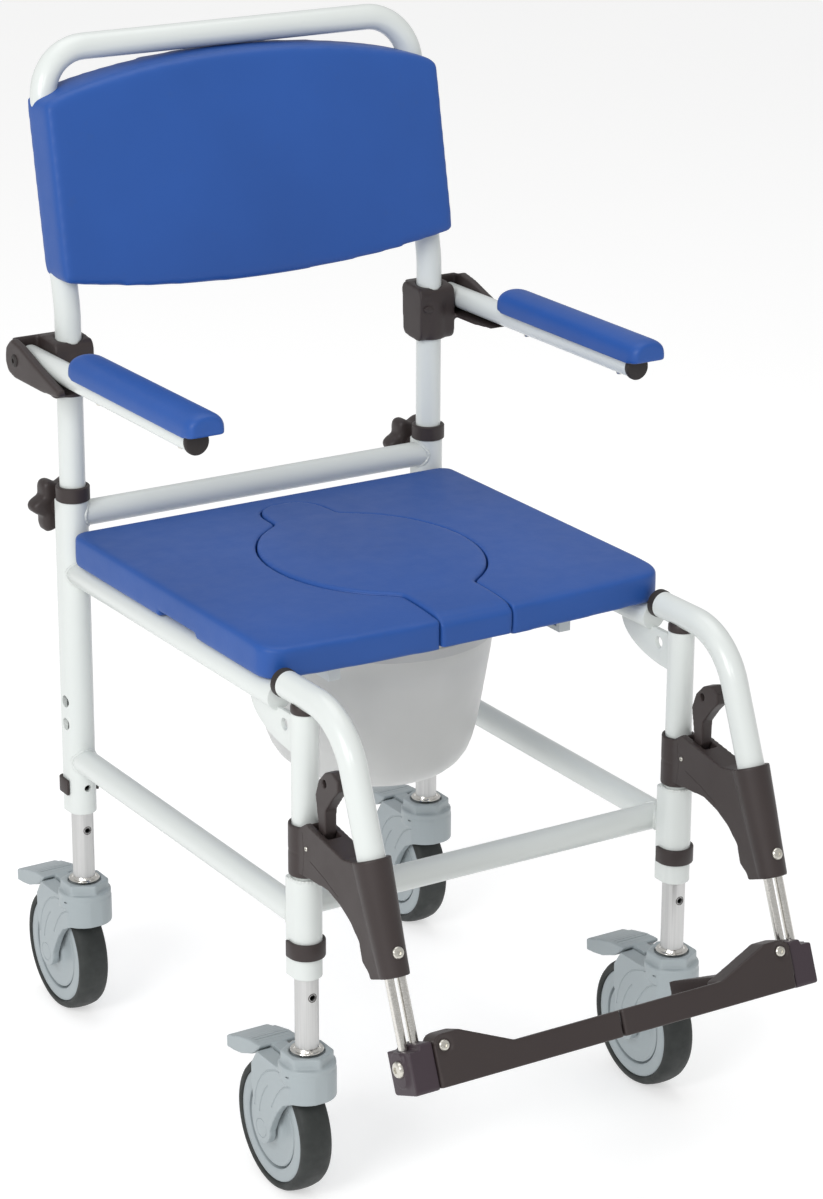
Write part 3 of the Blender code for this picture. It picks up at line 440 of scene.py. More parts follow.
def bolt(name, centre, axis, radius, body, socket=True, height=0.0022, material=None):
    """A low domed screw head with a hexagonal socket or a crossed slot."""
    profile = [(0.0, -0.0006), (radius, -0.0006), (radius, height * 0.35), (radius * 0.86, height * 0.80),
               (radius * 0.62, height), (0.0, height)]
    head = turned(name, profile, centre, axis, count=24)
    axis = Vector(axis).normalized()
    mouth = Vector(centre) + axis * (height + 0.001)
    if socket:
        drive = turned("drive", [(radius * 0.42, 0.0), (radius * 0.42, 0.0022)], mouth - axis * 0.0022, axis,
                       count=6)
        cut(head, drive)
    else:
        across = axis.orthogonal().normalized()
        for arm in (across, axis.cross(across)):
            cut(head, sweep("drive", [mouth - axis * 0.0012 - arm * radius * 0.6,
                                      mouth - axis * 0.0012 + arm * radius * 0.6], radius * 0.16, 6))
    bake(head)
    return dress(head, name, body, material or ZINC, smooth=30.0)


def side_plane(x):
    return lambda y, z, w: (x + w, y, z)


def flat_plane(y):
    return lambda a, b, h: (a, y + b, h)


# ---------------------------------------------------------------- welded frame
def leg_ring(radius, count=20):
    """Outline of the extruded leg: half round in front, squared behind."""
    front = [(radius * cos(a), radius * sin(a)) for a in arc_of(pi, pi, count)]
    square = rounded([(radius, 0.0), (radius, radius), (-radius, radius), (-radius, 0.0)],
                     [0, 0.0048, 0.0048, 0], 6)
    flats = [(radius, radius * 0.25), (radius, radius * 0.5)]
    return front + flats + square[1:-1] + [(-a, b) for a, b in reversed(flats)]


def hollow_leg(name, x, y, low, high, top_bore):
    outer = leg_ring(SLEEVE_R)
    ease = 0.0005

    def ring(shrink, z):
        return [(x + a * shrink, y + b * shrink, z) for a, b in outer]

    def bore(radius, z):
        return [(x + radius * cos(atan2(b, a)), y + radius * sin(atan2(b, a)), z) for a, b in outer]

    inset = 1 - ease / SLEEVE_R
    rings = [ring(inset, low), ring(1, low + ease), ring(1, high - ease), ring(inset, high),
             bore(top_bore, high), bore(top_bore, high - 0.03), bore(LEG_BORE_R, high - 0.034),
             bore(LEG_BORE_R, low)]
    return from_rings(name, rings, wrap=True)


def leg_surface(offset, front=True):
    """How far the leg's surface stands from its axis, at a sideways offset."""
    return sqrt(max(SLEEVE_R ** 2 - offset ** 2, 0.0)) if front else SLEEVE_R


def coped_tube(name, centre, along, start, end, radius=TUBE_R, count=32):
    """A straight tube along X or Y whose ends follow the surfaces that they meet."""
    cx, cy, cz = centre
    near, far = [], []
    for a in full_turn(count):
        u, v = radius * cos(a), radius * sin(a)
        for ring, reach in ((near, start(u, v)), (far, end(u, v))):
            ring.append((reach, cy + u, cz + v) if along == "x" else (cx + u, reach, cz + v))
    return from_rings(name, [near, far]), near, far


def weld(name, ring, body="frame"):
    """A rippled bead along a ring of points where two tubes meet."""
    points = [Vector(p) for p in ring]
    centre = sum(points, Vector()) / len(points)
    dense = []
    for i, p in enumerate(points):
        q = points[(i + 1) % len(points)]
        dense += [p, (p + q) / 2]
    dense = [p + (p - centre).normalized() * 0.0002 for p in dense]
    ripple = [0.0016 + 0.00035 * sin(i * 2.1) + 0.0002 * sin(i * 0.7) for i in range(len(dense))]
    return dress(sweep(name, dense, ripple, 8, closed=True), name, body, BEAD, smooth=60.0)


def frame_pieces():
    for side, sign in SIDES.items():
        x = sign * HALF_TRACK
        leg = hollow_leg("leg", x, REAR_Y, LEG_BOTTOM, REAR_LEG_TOP, 0.0131)
        cut(leg,
            *[cylinder(0.0062, (x + sign * 0.009, REAR_Y + 0.001, z), (x + sign * 0.03, REAR_Y + 0.001, z))
              for z in (0.326, 0.350)])
        cut(leg, cylinder(0.0036, (x, REAR_Y - 0.03, PIN_Z), (x, REAR_Y + 0.03, PIN_Z)))
        dress(bake(leg), f"rear_leg_tube_{side}", "frame", WHITE, f"rear_leg_{side}")

        sleeve = hollow_leg("sleeve", x, FRONT_Y, LEG_BOTTOM, SLEEVE_TOP, 0.0124)
        cut(sleeve, cylinder(0.0036, (x, FRONT_Y - 0.03, PIN_Z), (x, FRONT_Y + 0.03, PIN_Z)))
        dress(bake(sleeve), f"front_sleeve_{side}", "frame", WHITE, f"front_leg_{side}")
        upper = [(0.0121, SLEEVE_TOP - 0.015), (FRONT_LEG_R, SLEEVE_TOP - 0.014),
                 (FRONT_LEG_R, FRONT_LEG_TOP - 0.0005),
                 (FRONT_LEG_R - 0.0005, FRONT_LEG_TOP), (LEG_BORE_R, FRONT_LEG_TOP),
                 (LEG_BORE_R, SLEEVE_TOP - 0.015)]
        dress(turned("upper", upper, (x, FRONT_Y, 0), wrap=True), f"front_leg_tube_{side}", "frame", WHITE)
        shoulder = [(x + 0.0135 * cos(a), FRONT_Y + 0.0135 * sin(a), SLEEVE_TOP + 0.0004)
                    for a in full_turn(40)]
        weld(f"sleeve_weld_{side}", shoulder)

        rail, near, _ = coped_tube("rail", (x, 0, RAIL_Z), "y",
                                   lambda u, v: REAR_Y - leg_surface(u) + 0.0006,
                                   lambda u, v: FRONT_Y + 0.0442)
        leg_face = FRONT_Y + FRONT_LEG_R - 0.0004
        top, low = RAIL_Z - TUBE_R + 0.003, 0.440
        sweep_edge = [(leg_face + 0.082 * sin(a), top - (top - low) * cos(a)) for a in arc_of(0.0, pi / 2,
                                                                                              20)]
        outline = [(leg_face, 0.476), (leg_face, low), *sweep_edge[1:],
                   (FRONT_Y + 0.046, top), (FRONT_Y + 0.038, 0.476)]
        plate = prism("gusset", outline, -0.0025, 0.0025, side_plane(x))
        cut(plate,
            cylinder(0.0056, (x - 0.02, leg_face + 0.0204, 0.463), (x + 0.02, leg_face + 0.0204, 0.463)))
        bake(plate)
        dress(eased(plate, 0.0009), f"gusset_{side}", "frame", WHITE)
        dress(eased(rail, 0.0006, 2, 60.0), f"seat_rail_tube_{side}", "frame", WHITE, f"seat_rail_{side}")
        weld(f"seat_rail_weld_{side}", near)

        rail, near, far = coped_tube("lower", (x, 0, LOWER_Z), "y",
                                     lambda u, v: REAR_Y - leg_surface(u) + 0.0006,
                                     lambda u, v: FRONT_Y + SLEEVE_R - 0.0004)
        dress(rail, f"lower_rail_tube_{side}", "frame", WHITE, f"lower_rail_{side}", smooth=60.0)
        weld(f"lower_rail_weld_rear_{side}", near)
        weld(f"lower_rail_weld_front_{side}", far)

        ring = [(0.0131, 0.0), (0.0160, 0.0), (0.0168, 0.0008), (0.0168, 0.0138), (0.0160, 0.0148),
                (0.0140, 0.0150),
                (0.0131, 0.0142)]
        dress(turned("collar", ring, (x, REAR_Y, REAR_LEG_TOP + 0.0003), wrap=True), f"post_collar_{side}",
              "frame", DARK, f"collar_{side}")
        lug = box((x - 0.0052, REAR_Y + 0.0150, REAR_LEG_TOP + 0.0018),
                  (x + 0.0052, REAR_Y + 0.0200, REAR_LEG_TOP + 0.0135))
        dress(eased(lug, 0.0012), f"collar_lug_{side}", "frame", DARK)

    def to_leg(sign):
        return lambda u, v: sign * (HALF_TRACK - leg_surface(u, u < 0) + 0.0006)

    def to_rail(sign):
        return lambda u, v: sign * (HALF_TRACK - sqrt(max(TUBE_R ** 2 - v * v * 0.96, 0.0)) + 0.0006)

    for level, y, z, reach in (("upper", REAR_Y, UPPER_Z, to_leg),
                               ("lower", LOWER_CROSS_Y, LOWER_Z, to_rail)):
        tube, near, far = coped_tube(level, (0, y, z), "x", reach(-1), reach(1))
        dress(tube, f"{level}_cross", "frame", WHITE, f"{level}_cross_tube", smooth=60.0)
        weld(f"{level}_cross_weld_right", near)
        weld(f"{level}_cross_weld_left", far)
    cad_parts["pan_carrier"].data.materials.clear()
    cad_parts["pan_carrier"].data.materials.append(WHITE)


# ---------------------------------------------------------------- back, knobs and arms
def lean_back(y, z):
    return REAR_Y + (z - BACK_BEND_Z) * tan(BACK_LEAN) + y


def back_pieces():
    top_y = lean_back(0.0, PUSH_BAR_Z)
    half = [(HALF_TRACK, REAR_Y, 0.392), (HALF_TRACK, REAR_Y, BACK_BEND_Z), (HALF_TRACK, top_y, PUSH_BAR_Z)]
    path = half + [(-x, y, z) for x, y, z in reversed(half)]
    points = rounded(path, [0, 0.10, 0.047, 0.047, 0.10, 0], 12, closed=False)
    dress(sweep("bar", points, TUBE_R, 32), "back_tube", "back", WHITE, "back_frame", smooth=60.0)

    half = 0.2181
    steps = 40
    bottom = [(-half + 2 * half * i / steps,
               0.780 - 0.019 * (1 - (2 * i / steps - 1) ** 2)) for i in range(steps + 1)]
    top = [(half * 0.995 - 2 * half * 0.995 * i / steps,
            0.946 + 0.031 * (1 - (2 * i / steps - 1) ** 2) ** 0.8)
           for i in range(steps + 1)]
    outline = rounded(bottom + top,
                      [0.005] + [0.0] * (steps - 1) + [0.005, 0.005] + [0.0] * (steps - 1) + [0.005], 5)
    pad = prism("pad", outline, -0.034, 0.0145, lambda x, z, depth: (x, lean_back(depth, z), z))
    moulded(pad, 0.0030, 24, 0.6)
    co = vertices(pad)
    depth = co[:, 1] - (REAR_Y + (co[:, 2] - BACK_BEND_Z) * tan(BACK_LEAN))
    u, v = co[:, 0] / half, (co[:, 2] - 0.868) / 0.105
    dome = np.clip(1 - np.abs(u) ** 2.6, 0, 1) * np.clip(1 - np.abs(v) ** 2.4, 0, 1)
    front = np.clip((0.004 - depth) / 0.030, 0, 1)
    co[:, 1] -= front * dome * 0.0045
    put_vertices(pad, co)
    dress(pad, "back_cushion", "back", BLUE, "backrest", smooth=80.0)


def vertices(obj):
    co = np.empty(len(obj.data.vertices) * 3)
    obj.data.vertices.foreach_get("co", co)
    return co.reshape(-1, 3)


def put_vertices(obj, co):
    obj.data.vertices.foreach_set("co", co.ravel())
    obj.data.update()


def knob(side, x):
    """Six-lobed clamping knob behind the post."""
    lobes = 6
    y0, z0 = REAR_Y + 0.0265, centre_of(f"back_knob_{side}").z
    outline = [((0.0255 + 0.0040 * cos(lobes * a)), a) for a in full_turn(96)]
    rows = [(0.0000, 0.60), (0.0002, 0.86), (0.0020, 0.95), (0.0050, 1.0), (0.0140, 1.0), (0.0180, 0.94),
            (0.0198, 0.82), (0.0200, 0.66), (0.0188, 0.50), (0.0184, 0.20)]
    rings = [[(x + r * k * cos(a), y0 + h, z0 + r * k * sin(a)) for r, a in outline] for h, k in rows]
    head = from_rings("knob", rings)
    hub = turned("hub", [(0.0085, 0.0), (0.0100, 0.0012), (0.0112, 0.0125)], (x, REAR_Y + 0.0151, z0),
                 (0, 1, 0))
    dress(head, f"knob_head_{side}", f"back_knob_{side}", DARK, f"back_knob_{side}", smooth=50.0)
    dress(hub, f"knob_hub_{side}", f"back_knob_{side}", DARK)


def bracket(side, sign):
    """Moulded arm bracket: post clamp, arm channel, outer cheek and a thumb recess."""
    y0 = REAR_Y
    inner_x, outer_x = sign * 0.1845, sign * 0.2580
    channel_in, channel_out = sign * (ARM_X - ARM_R - 0.0006), sign * (ARM_X + ARM_R + 0.0006)
    clamp_line = rounded([(y0 - 0.0165, 0.664), (y0 + 0.019, 0.668), (y0 + 0.022, 0.724),
                          (y0 - 0.0165, 0.720)],
                         0.008, 5)
    clamp = prism("bracket", clamp_line, *sorted((inner_x, channel_in)), side_plane(0))
    cheek_line = rounded([(y0 + 0.0285, 0.698), (y0 + 0.0275, 0.713), (y0 + 0.0150, 0.7235),
                          (y0 - 0.0050, 0.7195),
                          (y0 - 0.0350, 0.7095), (y0 - 0.0640, 0.7010), (y0 - 0.0850, 0.6950),
                          (y0 - 0.0830, 0.6890),
                          (y0 - 0.0500, 0.6860), (y0 + 0.0100, 0.6860), (y0 + 0.0230, 0.6895)],
                         [0.006, 0.006, 0.006, 0.006, 0.006, 0.006, 0.002, 0.002, 0.006, 0.004, 0.004], 4)
    cheek = prism("cheek", cheek_line, *sorted((channel_in, outer_x)), side_plane(0))
    low_x, high_x = sorted((channel_in, channel_out))
    channel = box((low_x, y0 - 0.2, ARM_Z - 0.0143), (high_x, ARM_Y + 0.0145, 0.78))
    rear = box((min(inner_x, outer_x) + 0.006, y0 + 0.0135, 0.687),
               (max(inner_x, outer_x) - 0.006, y0 + 0.026, 0.722))
    cup = turned("cup", [(0.0175, 0.0), (0.0190, 0.004), (0.0190, 0.040), (0.0175, 0.0445)],
                 (sign * HALF_TRACK, y0, 0.6655))
    join(clamp, cheek, rear, cup)
    bake(clamp)
    cut(clamp, channel, cylinder(0.0129, (sign * HALF_TRACK, y0, 0.6), (sign * HALF_TRACK, y0, 0.8), 48))
    moulded(clamp, 0.0013, 14, 0.6)
    thumb = turned("thumb", [(0.0, -0.006), (0.008, -0.004), (0.0105, 0.0), (0.008, 0.004), (0.0, 0.006)],
                   (sign * 0.1935, y0 - 0.0215, 0.699), (1, 0, 0), squash=(0.7, 0.55))
    cut(clamp, thumb)
    dress(bake(clamp), f"bracket_body_{side}", "back", DARK, f"arm_bracket_{side}", smooth=50.0)
    pad = turned("button", [(0.0, 0.0), (0.0062, 0.0), (0.0058, 0.0012), (0.004, 0.0018), (0.0, 0.0019)],
                 (sign * 0.1935, y0 - 0.0168, 0.699), (0, -1, 0), squash=(1.0, 0.6))
    dress(pad, f"bracket_button_{side}", "back", DARK)
    bolt(f"bracket_screw_{side}", (sign * 0.2578, ARM_Y, ARM_Z), (sign, 0, 0), 0.0062, "back", True, 0.0020,
         RUBBER)


def arm(side, sign):
    x = sign * ARM_X
    body = f"arm_{side}"
    end = ARM_Y + 0.0083
    tube = sweep("arm", [(x, end, ARM_Z), (x, ARM_TIP, ARM_Z)], ARM_R, 32)
    dress(eased(tube, 0.0006, 2, 60.0), f"arm_rail_{side}", body, WHITE, f"arm_tube_{side}")
    cap = turned("cap",
                 [(0.0, -0.002), (0.0112, -0.002), (0.0122, 0.0004), (0.0122, 0.0030), (0.0112, 0.0044),
                  (0.0, 0.0050)], (x, ARM_TIP, ARM_Z), (0, -1, 0))
    dress(cap, f"arm_plug_{side}", body, RUBBER, f"arm_cap_{side}")
    half, skirt = 0.0199, 0.0088
    section = [(half * cos(a), 0.0125 + 0.0182 * sin(a) ** 0.65) for a in arc_of(0.0, pi, 24)]
    section = [(-half, skirt), (half, skirt)] + section
    rear, front = REAR_Y - 0.100, REAR_Y - 0.340
    stations = [(rear + 0.0008, 0.78), (rear - 0.0040, 0.95), (rear - 0.010, 1.0),
                (front + 0.010, 1.0), (front + 0.0040, 0.95), (front - 0.0008, 0.78)]
    pad = from_rings("pad", [[(x + a * k, y, ARM_Z + 0.017 + (b - 0.017) * k) for a, b in section]
                             for y, k in stations])
    cut(pad, cylinder(ARM_R - 0.0004, (x, rear + 0.05, ARM_Z), (x, ARM_TIP - 0.0050, ARM_Z)))
    moulded(pad, 0.0018, 6, 0.55)
    dress(pad, f"arm_cushion_{side}", body, BLUE, f"arm_pad_{side}", smooth=80.0)
    for k, y in enumerate((REAR_Y - 0.131, REAR_Y - 0.291)):
        bolt(f"arm_screw_{side}_{k}", (x, y, ARM_Z - ARM_R + 0.0003), (0, 0, -1), 0.0036, body, False)


# ---------------------------------------------------------------- seat, lid and pan
def keyhole(steps=40):
    """Outline of the lid: an oval with a tab behind and a tongue in front."""
    back = 0.1765
    rows = [SEAT_FRONT * (1 - i / steps) for i in range(steps)]
    rows += [back * sin(pi / 2 * i / steps) for i in range(steps)]
    right = []
    for y in rows:
        oval = LID_HALF_WIDTH * sqrt(max(0.0, 1 - (y / LID_HALF_LENGTH) ** 2))
        end = 0.0385 if y < 0 else 0.0350 * (1 - (y / back) ** 12) ** 0.5
        right.append(((oval ** 7 + end ** 7) ** (1 / 7), y))
    return right + [(-x, y) for x, y in reversed(right)]


def grown(outline, gap):
    """The outline with every side moved outwards by gap."""
    result = []
    for i, corner in enumerate(outline):
        corner = Vector(corner)
        before = (corner - Vector(outline[i - 1])).normalized()
        after = (Vector(outline[(i + 1) % len(outline)]) - corner).normalized()
        miter = Vector((before.y + after.y, -before.x - after.x)).normalized()
        spread = max(0.4, miter.dot(Vector((after.y, -after.x))))
        spot = corner + miter * gap / spread
        result.append((spot.x, spot.y))
    return result


def seat_pieces():
    half = SEAT_HALF
    rear = REAR_Y - 0.0172
    corner, middle = FRONT_Y + 0.047, SEAT_CENTRE_Y + SEAT_FRONT
    across = [-1.0] + [-0.84 + 1.68 * i / 30 for i in range(31)] + [1.0]
    bow = [(half * k, corner + (middle - corner) * (1 - abs(k) ** 2.2)) for k in across]
    outline = rounded(bow + [(half, rear), (-half, rear)], [0.022] + [0.0] * 31 + [0.022, 0.012, 0.012], 8)
    seat = prism("seat", outline, SEAT_BOTTOM, SEAT_TOP, flat_plane(0.0))
    moulded(seat, 0.0026, 18, 0.6)
    rim = grown(keyhole(), 0.0013)
    rim[0] = (rim[0][0], SEAT_FRONT - 0.05)
    rim[-1] = (rim[-1][0], SEAT_FRONT - 0.05)
    cut(seat, prism("opening", rim, SEAT_BOTTOM - 0.01, SEAT_TOP + 0.01, flat_plane(SEAT_CENTRE_Y)))
    bake(seat)
    for sign in SIDES.values():
        cut(seat, box((min(sign * 0.205, sign * 0.23), REAR_Y - 0.269, SEAT_BOTTOM - 0.01),
                      (max(sign * 0.205, sign * 0.23), REAR_Y - 0.196, SEAT_BOTTOM + 0.0075)))
    moulded(seat, 0.0020, 3, 0.5)
    co = vertices(seat)
    u = np.clip(np.abs(co[:, 0]) / half, 0, 1)
    v = np.clip((co[:, 1] - middle) / (rear - middle), 0, 1)
    lift = np.clip((co[:, 2] - SEAT_BOTTOM - 0.018) / 0.014, 0, 1)
    crown = 0.0016 * (1 - u ** 3) * (1 - np.abs(2 * v - 1) ** 3) - 0.0035 * np.clip(1 - v / 0.16, 0, 1) ** 2
    co[:, 2] += lift * crown
    put_vertices(seat, co)
    dress(seat, "seat_cushion", "seat", BLUE, "seat_pad", smooth=80.0)

    lid = prism("lid", keyhole(), SEAT_TOP - 0.024, SEAT_TOP + 0.0026, flat_plane(SEAT_CENTRE_Y))
    tongue = prism("tongue",
                   rounded([(-0.0380, middle - 0.0012), (0.0380, middle - 0.0012), (0.0380, middle + 0.050),
                            (-0.0380, middle + 0.050)], [0.003, 0.003, 0, 0], 4),
                   SEAT_BOTTOM + 0.003, SEAT_TOP, flat_plane(0.0))
    nose = turned("nose", [(0.0140, -0.06), (0.0140, 0.06)], (0, middle + 0.0128, SEAT_TOP - 0.0118),
                  (1, 0, 0))
    corner_cut = box((-0.06, middle - 0.01, SEAT_TOP - 0.0118), (0.06, middle + 0.0128, SEAT_TOP + 0.02))
    cut(corner_cut, nose)
    bake(corner_cut)
    join(lid, tongue)
    cut(lid, corner_cut)
    moulded(lid, 0.0020, 4, 0.5)
    co = vertices(lid)
    span = (co[:, 0] / LID_HALF_WIDTH) ** 2 + ((co[:, 1] - SEAT_CENTRE_Y) / LID_HALF_LENGTH) ** 2
    lift = np.clip((co[:, 2] - SEAT_TOP + 0.010) / 0.010, 0, 1)
    v = np.clip((co[:, 1] - middle) / (rear - middle), 0, 1)
    co[:, 2] += lift * (0.0022 * np.clip(1 - span, 0, 1) - 0.0048 * np.clip(1 - v / 0.16, 0, 1) ** 2)
    put_vertices(lid, co)
    dress(lid, "lid_cushion", "lid", BLUE, "seat_lid", smooth=80.0)

    outer = [(0.0, 0.3180), (0.055, 0.3181), (0.068, 0.3190), (0.080, 0.3216), (0.090, 0.3264),
             (0.0985, 0.3335),
             (0.1050, 0.3425), (0.1095, 0.3530), (0.1130, 0.3660), (0.1160, 0.3800), (0.1200, 0.4010),
             (0.1240, 0.4240), (0.1278, 0.4460), (0.1304, 0.4640), (0.1322, 0.4652), (0.1324, 0.4745),
             (0.1308, 0.4758), (0.1314, 0.4785), (0.1385, 0.4792), (0.1395, 0.4802), (0.1390, 0.4815)]
    inner = [(0.1298, 0.4817), (0.1288, 0.4800), (0.1276, 0.4640), (0.1250, 0.4460), (0.1212, 0.4240),
             (0.1172, 0.4010), (0.1132, 0.3800), (0.1102, 0.3665), (0.1068, 0.3540), (0.1025, 0.3445),
             (0.0965, 0.3360), (0.0885, 0.3292), (0.0790, 0.3245), (0.0675, 0.3218), (0.055, 0.3209),
             (0.0, 0.3208)]
    bowl = turned("bowl", outer + inner, (0, PAN_Y, 0), count=96, squash=(0.89, 1.0))
    dress(bowl, "pan_bowl", "pan", PAN, "pan", smooth=50.0)
    for sign in SIDES.values():
        tab = prism("tab", rounded([(sign * 0.1150, -0.085), (sign * 0.1258, -0.085), (sign * 0.1258, 0.085),
                                    (sign * 0.1150, 0.085)], 0.004, 4), 0.4792, 0.4815,
                    flat_plane(PAN_Y))
        dress(tab, f"pan_runner_{'left' if sign > 0 else 'right'}", "pan", PAN)


# ---------------------------------------------------------------- footrests
def stem_place(f, n):
    """World (y, z) of a point f forward of the stem axis and n along it, upwards."""
    return (STEM_Y - f * cos(LEAN) + n * sin(LEAN), STEM_Z + f * sin(LEAN) + n * cos(LEAN))


def hanger(side, sign):
    x = sign * HALF_TRACK
    body = f"hanger_{side}"
    socket_y, socket_z = stem_place(0.0, 0.128)
    knee_y, knee_z = stem_place(0.0, (HANGER_Z - STEM_Z) / cos(LEAN))
    path = rounded([(x, FRONT_Y + 0.0345, HANGER_Z), (x, knee_y, knee_z), (x, socket_y, socket_z)],
                   [0, 0.068, 0], 18,
                   closed=False)
    dress(sweep("pipe", path, TUBE_R, 32), f"hanger_bar_{side}", body, WHITE, f"hanger_tube_{side}",
          smooth=60.0)
    cap = turned("cap",
                 [(0.0, -0.004), (0.0127, -0.004), (0.0134, -0.0006), (0.0134, 0.0034), (0.0124, 0.0046),
                  (0.0, 0.0050)], (x, FRONT_Y + 0.0340, HANGER_Z), (0, 1, 0))
    dress(cap, f"hanger_end_{side}", body, RUBBER)
    plug = turned("plug",
                  [(0.0112, -0.020), (0.0112, 0.0003), (0.0126, 0.0003), (0.0130, 0.0012), (0.0128, 0.0060),
                   (0.0118, 0.0078)], (x, FRONT_Y, FRONT_LEG_TOP))
    dress(plug, f"hanger_plug_{side}", body, DARK)

    def at(y, z):
        return (FRONT_Y + y, z)

    outline = [at(-0.010, 0.3810), at(-0.022, 0.3890), at(-0.086, 0.3785), stem_place(-0.0140, 0.1476),
               stem_place(0.0, 0.1476), stem_place(0.0, 0.0440), stem_place(-0.0215, 0.0440),
               stem_place(-0.0225, 0.0500), stem_place(-0.0300, 0.0600), stem_place(-0.0292, 0.0735),
               at(-0.1124, 0.3115), at(-0.0976, 0.3245), at(-0.0806, 0.3335), at(-0.0600, 0.3395),
               at(-0.010, 0.3370)]
    casting = prism("casting", outline, -CASTING_HALF, CASTING_HALF, side_plane(x))
    clamp = turned("clamp",
                   [(0.0158, 0.3312), (0.0158, 0.3540), (0.0152, 0.3552), (0.0158, 0.3564), (0.0158, 0.3810)],
                   (x, FRONT_Y, 0.0))
    lean = (0, sin(LEAN), cos(LEAN))
    socket = turned("socket", [(0.0137, 0.0440), (0.0146, 0.0750), (0.0160, 0.1100), (0.0172, 0.1476)],
                    (x, STEM_Y, STEM_Z), lean)
    join(casting, clamp, socket)
    bake(casting)
    cut(casting, cylinder(TUBE_R + 0.0001, (x, *stem_place(0.0, 0.1277)), (x, *stem_place(0.0, 0.17))),
        cylinder(FRONT_LEG_R + 0.0003, (x, FRONT_Y, 0.30), (x, FRONT_Y, 0.42), 48),
        box((x - 0.0070, FRONT_Y - 0.0520, 0.3540), (x + 0.0070, FRONT_Y - 0.0160, 0.4000)),
        *[cylinder(STEM_ROD_R + 0.0004, (x + w, *stem_place(0.0, 0.03)), (x + w, *stem_place(0.0, 0.1255)))
          for w in (-STEM_SPREAD, STEM_SPREAD)])
    moulded(casting, 0.0011, 4, 0.5)
    seams = []
    for face in (-1, 1):
        for line in ([(-0.030, 0.3560), (-0.055, 0.3490), (-0.078, 0.3400)],
                     [(-0.0165, 0.3790), (-0.0190, 0.3560), (-0.0165, 0.3380)]):
            seams.append(sweep("seam", [(x + face * 0.0131, *at(*p)) for p in line], 0.00055, 6))
    cut(casting, *seams)
    dress(bake(casting), f"hanger_body_{side}", body, DARK, f"hanger_casting_{side}", smooth=50.0)
    for face in (-1, 1):
        bolt(f"hanger_pin_{side}_{'in' if face * sign < 0 else 'out'}",
             (x + face * CASTING_HALF, *at(-0.023, 0.3655)),
             (face, 0, 0), 0.0022, body, True, 0.0010)

    bolt(f"hanger_bolt_{side}", (x, *stem_place(0.0142, 0.0650)), STEM_FORWARD, 0.0054, body, True, 0.0022)

    lever_line = [at(-0.0175, 0.3620), at(-0.0185, 0.3700), at(-0.0330, 0.3860), at(-0.0310, 0.3980),
                  at(-0.0275, 0.4180), at(-0.0330, 0.4330), at(-0.0440, 0.4440), at(-0.0560, 0.4480),
                  at(-0.0660, 0.4430), at(-0.0665, 0.4330), at(-0.0560, 0.4220), at(-0.0450, 0.4080),
                  at(-0.0445, 0.3860), at(-0.0330, 0.3600), at(-0.0250, 0.3575)]
    lever = prism("lever", lever_line, -0.0060, 0.0060, side_plane(x))
    cut(lever, cylinder(0.0036, (x - 0.02, *at(-0.0430, 0.4330)), (x + 0.02, *at(-0.0430, 0.4330))))
    moulded(lever, 0.0009, 7, 0.5)
    dress(lever, f"lever_body_{side}", f"release_lever_{side}", DARK, f"release_lever_{side}", smooth=50.0)


